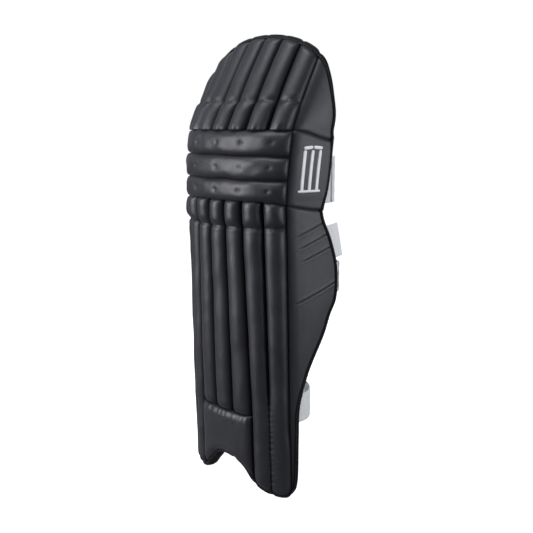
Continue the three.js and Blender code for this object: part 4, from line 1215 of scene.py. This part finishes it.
def join_pieces(name, pieces):
    for piece in pieces:
        piece.select_set(True)
    bpy.context.view_layer.objects.active = pieces[0]
    bpy.ops.object.join()
    pieces[0].name = pieces[0].data.name = name
    pieces[0].select_set(False)
    return pieces[0]


bpy.ops.object.select_all(action="DESELECT")
middle, low = HALF_WIDTH + 33.0, 466.0
bars = [plate(f"stump_{k}", (middle + k * 12.5, low + 30.5), (5.2, 58), 5.9, 1.1, badge_plastic,
              2.5, grid=(8, 40)) for k in (-1, 0, 1)]
for k in (-1, 1):
    bars.append(plate(f"bail_{k}", (middle + k * 8.1, low + 62.8), (14.6, 4.6), 5.9, 1.3, badge_plastic, 2.2,
                      turn=k * -5.0, grid=(20, 8)))
bars.append(plate("ground", (middle, low + 1.6), (37.5, 3.2), 5.9, 1.3, badge_plastic, 1.5, grid=(36, 6)))
badge = join_pieces("wicket_badge_plate", bars)
attach(badge, "knee", "wicket_badge")

# %% Care label
rear = float(shin_edge(1, 389.0)) + TUCK
label = plate("care_label_tag", (rear + 10.0, 388.0), (40, 52), -11.2, 0.5, label_cloth, 1.2, turn=10.0,
              wave=0.5, grid=(18, 34), dome=0.0)
attach(label, "shin", "care_label")
print("badge and label made")

# %% [markdown]
# ## Straps
# Three webbing straps close the guard behind the leg. Each is a flat band swept along one
# smooth curve, from where it is sewn behind the outer wing to the inner wing, where its end
# lies on a patch of loop pile. The band keeps its thickness and has soft edges. Its UV runs
# along it, so the weave bends with it.

# %% Straps, ends, anchors and patches
WEBBING, HINGE_GAP, LEAD_GAP = 2.8, 1.6, 2.6
BEHIND, OVER, ANKLE_RIM_RISE = -12.0, 9.9, 22.0
STRAPS = {"knee": ("knee", 68.0, 481.0, 84.0, 14.0), "calf": ("shin", 46.0, 332.0, 70.0, 14.0),
          "ankle": ("shin", 44.0, 138.0, 80.0, 76.0)}


def rim_at(body, side, level):
    if body == "knee":
        return knee_edge(side, level) + side * TUCK
    rim = shin_rim[(shin_rim[:, 0] * side > HALF_WIDTH / 2)]
    rim = rim[np.argsort(rim[:, 1])]
    return np.interp(level, rim[:, 1], rim[:, 0])


def band_ring(width, thick):
    """Half-round edges, with many points across so that the band can ripple."""
    half, t = width / 2 - thick / 2, thick / 2
    turns = np.linspace(-90, 90, 7)
    right = [(half + t * math.cos(math.radians(a)), t * math.sin(math.radians(a))) for a in turns]
    across = [(half * (1 - 2 * k / 16), t) for k in range(1, 16)]
    return np.array(right + across + [(-x, -y) for x, y in right] + [(-x, -y) for x, y in across])


def band(name, centres, sideways, ups, width, thick, node, body, taper=None):
    ring = band_ring(width, thick)
    steps = np.concatenate([[0], np.cumsum(np.linalg.norm(np.diff(centres, axis=0), axis=1))])
    wide = np.ones(len(centres)) if taper is None else taper
    ripple = 0.00025 * np.sin(ring[None, :, 0] * 0.35 + steps[:, None] * 60)
    rings = centres[:, None, :] + ups[:, None, :] * (ring[None, :, 0:1] * wide[:, None, None]) * MM \
        + sideways[:, None, :] * (ring[None, :, 1:2] * MM + ripple[..., None])
    uv = np.stack(np.broadcast_arrays(ring[None, :, 0] * MM, steps[:, None]), -1)
    # Painted shade: this valley value darkens the last 2 mm of webbing at each edge.
    edge = np.clip(1 - (width / 2 - np.abs(ring[:, 0])) / 2.0, 0, 1) * 0.5
    piece = loft(name, rings, webbing, uv, sharp=60,
                 values={"valley": np.broadcast_to(edge, rings.shape[:2]).ravel()})
    return attach(piece, body, node)


def unit(v):
    return v / np.linalg.norm(v, axis=-1)[..., None]


def cubic(p, t):
    t = t[:, None]
    return (1 - t) ** 3 * p[0] + 3 * (1 - t) ** 2 * t * p[1] + 3 * (1 - t) * t ** 2 * p[2] + t ** 3 * p[3]


def surface_run(s, level, n):
    """Points along the cloth at one height, with the directions out of it and up it."""
    centres = place(s, level, n)
    out = unit(place(s, level, n + 1.0) - centres)
    up = unit(place(s, level + 1.0, n) - centres)
    return centres, out, up


def flat_run(shape, start, stop, count):
    """Evenly spaced points between two distances along a cubic, with their directions."""
    fine = cubic(shape, np.linspace(0, 1, 400))
    reach = np.concatenate([[0], np.cumsum(np.linalg.norm(np.diff(fine, axis=0), axis=1))])
    stops = np.linspace(start, stop if stop > 0 else reach[-1] + stop, count)
    centres = np.stack([np.interp(stops, reach, fine[:, k]) for k in range(3)], 1)
    tangent = unit(np.gradient(centres, axis=0))
    sideways = np.stack([tangent[:, 1], -tangent[:, 0], np.zeros(count)], 1)
    ups = np.tile(np.array([0.0, 0.0, 1.0]), (count, 1))
    return centres, sideways, ups, reach[-1]


for name, (body, width, level, slack, lead) in STRAPS.items():
    rise = ANKLE_RIM_RISE if name == "ankle" else 0.0
    outer_s = float(rim_at(body, 1, level + rise)) + 5.0
    inner_s = float(rim_at(body, -1, level)) - 6.0
    start, landing = place(outer_s, level, BEHIND), place(inner_s, level, OVER)
    leave, arrive = unit(np.array([0.1, 1, 0])), unit(np.array([-0.3, -1, 0]))
    shape = (start, start + leave * slack * MM, landing - arrive * slack * MM, landing)
    centres, out, up, length = flat_run(shape, (lead + HINGE_GAP) * MM, -HINGE_GAP * MM, 110)
    band(f"{name}_strap_web", centres, out, up, width, WEBBING, f"{name}_strap", f"{name}_strap")
    run = np.linspace(outer_s - 39.0, outer_s - 0.8, 26)
    sewn = surface_run(run, level, BEHIND)
    free = flat_run(shape, 0.8 * MM, (lead - LEAD_GAP) * MM, 8 if lead < 30 else 40)
    centres, out, up = (np.concatenate([a, b]) for a, b in zip(sewn, free))
    band(f"{name}_strap_anchor_web", centres, out, up, width, WEBBING, f"{name}_strap_anchor", body)
    start, stop = inner_s + 3.1, -float(seam(3, level)) - 5.0
    run = np.linspace(start, stop, 40)
    centres, out, up = surface_run(run, level, OVER)
    taper = 1 - 0.2 * smooth((run - stop + 8) / 8) ** 2
    band(f"{name}_strap_end_web", centres, out, up, width, WEBBING, f"{name}_strap_end",
         f"{name}_strap_end", taper)
    start = max(float(rim_at(body, -1, level + k * (width / 2 + 3))) for k in (-1, 0, 1)) + 7.3
    stop = -float(seam(3, level)) - 3.0
    patch = plate(f"{name}_loop_pile", ((start + stop) / 2, level), (stop - start, width + 6), 5.6,
                  1.0, pile, 2.5, grid=(18, 34), dome=0.2)
    attach(patch, body, f"{name}_loop_patch")
    print(name, "strap runs", round(length * 1000), "mm behind the leg")

# %% [markdown]
# ## Stitches
# A lockstitch shows as a row of short rounded threads. Geometry Nodes place them: the tree
# takes a line that lies on the surface, cuts it into equal steps and puts one small
# stretched ball on each, turned along the line. Stitch length, step and thread thickness are
# inputs, so one tree serves every seam.

# %% The stitching tree


def stitch_tree():
    tree = bpy.data.node_groups.new("stitching", "GeometryNodeTree")
    face = tree.interface
    face.new_socket("Geometry", in_out="INPUT", socket_type="NodeSocketGeometry")
    for label_text, value in (("Step", 0.0046), ("Stitch length", 0.0033), ("Thread", 0.0009)):
        face.new_socket(label_text, in_out="INPUT", socket_type="NodeSocketFloat").default_value = value
    face.new_socket("Seed", in_out="INPUT", socket_type="NodeSocketInt").default_value = 7
    face.new_socket("Finish", in_out="INPUT", socket_type="NodeSocketMaterial")
    face.new_socket("Geometry", in_out="OUTPUT", socket_type="NodeSocketGeometry")
    kinds = {"given": "NodeGroupInput", "result": "NodeGroupOutput", "curve": "GeometryNodeMeshToCurve",
             "steps": "GeometryNodeResampleCurve", "points": "GeometryNodeCurveToPoints",
             "ball": "GeometryNodeMeshUVSphere", "size": "ShaderNodeCombineXYZ",
             "uneven": "FunctionNodeRandomValue", "length": "ShaderNodeMath",
             "copies": "GeometryNodeInstanceOnPoints", "real": "GeometryNodeRealizeInstances",
             "soft": "GeometryNodeSetShadeSmooth", "finish": "GeometryNodeSetMaterial"}
    node = {name: tree.nodes.new(kind) for name, kind in kinds.items()}
    node["steps"].mode, node["points"].mode, node["length"].operation = "LENGTH", "EVALUATED", "MULTIPLY"
    node["uneven"].data_type = "FLOAT"
    for name, socket, value in (("ball", "Segments", 7), ("ball", "Rings", 5), ("ball", "Radius", 0.5),
                                ("uneven", 2, 0.88), ("uneven", 3, 1.1)):
        node[name].inputs[socket].default_value = value
    for source, out, target, into in (
            ("given", "Geometry", "curve", "Mesh"), ("curve", "Curve", "steps", "Curve"),
            ("given", "Step", "steps", "Length"), ("steps", "Curve", "points", "Curve"),
            ("points", "Points", "copies", "Points"), ("points", "Rotation", "copies", "Rotation"),
            ("ball", "Mesh", "copies", "Instance"), ("given", "Seed", "uneven", "Seed"),
            ("uneven", 1, "length", 0), ("given", "Stitch length", "length", 1),
            ("given", "Thread", "size", "X"), ("given", "Thread", "size", "Y"),
            ("length", 0, "size", "Z"), ("size", 0, "copies", "Scale"), ("copies", 0, "real", 0),
            ("real", 0, "soft", 0), ("soft", 0, "finish", "Geometry"),
            ("given", "Finish", "finish", "Material"), ("finish", 0, "result", 0)):
        tree.links.new(node[source].outputs[out], node[target].inputs[into])
    return tree


stitching = stitch_tree()
FACES_PER_STITCH = 35


def sew(name, lines, step=0.0046, length=0.0033, thickness=0.0009, finish=None):
    mesh = bpy.data.meshes.new(name)
    points, edges, start = [], [], 0
    for line in lines:
        points += line.tolist()
        edges += [(start + k, start + k + 1) for k in range(len(line) - 1)]
        start += len(line)
    mesh.from_pydata(points, edges, [])
    row = bpy.data.objects.new(name, mesh)
    scene.collection.objects.link(row)
    sewing = row.modifiers.new("stitching", "NODES")
    sewing.node_group = stitching
    wanted = {"Step": step, "Stitch length": length, "Thread": thickness, "Seed": 7,
              "Finish": finish or thread}
    for item in stitching.interface.items_tree:
        if item.in_out == "INPUT" and item.name in wanted:
            sewing[item.identifier] = wanted[item.name]
    return bake_modifiers(row)


def tape_lines(rim, dip, inward):
    found = []
    for n in (6.75, -10.45):
        moved = inset(rim, inward * (3.7 + 0.8 * dip))
        found.append(place(moved[:, 0], moved[:, 1], n * (1 - 0.12 * dip))[2:-2])
    return found


for body, parts in tapes.items():
    lines = [line for rim, dip, inward in parts for line in tape_lines(rim, dip, inward)]
    row = sew(f"{body}_tape_stitches", lines)
    attach(row, body, None, bends=body != "knee")
    print(body, "tape stitches:", len(row.data.polygons) // FACES_PER_STITCH)

# %% [markdown]
# ## Tacks and strap stitching
# Each dimple on the knee ends in a short bar of thread. The strap anchors carry a sewn box,
# and the low outer seam shows its quilting stitches.

# %% Tacks, quilting and strap boxes


def bar(s, z, n, length):
    run = np.linspace(-length / 2, length / 2, 4)
    return place(s + run, z + 0.12 * run, n)


TACK_SINK = 2.3
tack_lines = []
for s_at, z_at in TACKS:
    for lift in (-0.55, 0.0, 0.55):
        tack_lines.append(bar(s_at, z_at + lift, PAD_BASE + KNEE_DEPTH - TACK_SINK, 3.6))
tacks = sew("knee_tacks", tack_lines, step=0.0012, length=0.0021, thickness=0.0011)
attach(tacks, "knee", None)
quilt_z = np.linspace(24, 148, 90)
quilt = sew("quilting_stitches", [place(seam_line(6, quilt_z), quilt_z, PAD_BASE + 12.0 * 0.60)],
            step=0.0052, length=0.0036, thickness=0.00085)
attach(quilt, "shin", None)
for name, (body, width, level, slack, lead) in STRAPS.items():
    rise = ANKLE_RIM_RISE if name == "ankle" else 0.0
    end = float(rim_at(body, 1, level + rise))
    low, high, near, far = level - width / 2 + 4, level + width / 2 - 4, end - 30.0, end - 9.0
    corner = [(near, low), (far, low), (far, high), (near, high), (near, low), (far, high)]
    path = np.concatenate([np.linspace(corner[k], corner[k + 1], 30) for k in range(len(corner) - 1)])
    box = sew(f"{name}_strap_box", [place(path[:, 0], path[:, 1], -13.55)],
              step=0.0042, length=0.003, thickness=0.0008, finish=webbing_thread)
    attach(box, body, None)
print("tacks:", len(TACKS), "boxes:", len(STRAPS))

# %% [markdown]
# ## The finished size
# The box round the finished model is printed, as the imported model's box was at the start.

# %% Print the finished size
low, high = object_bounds()
print("box now:", [round(v, 4) for v in low], [round(v, 4) for v in high])
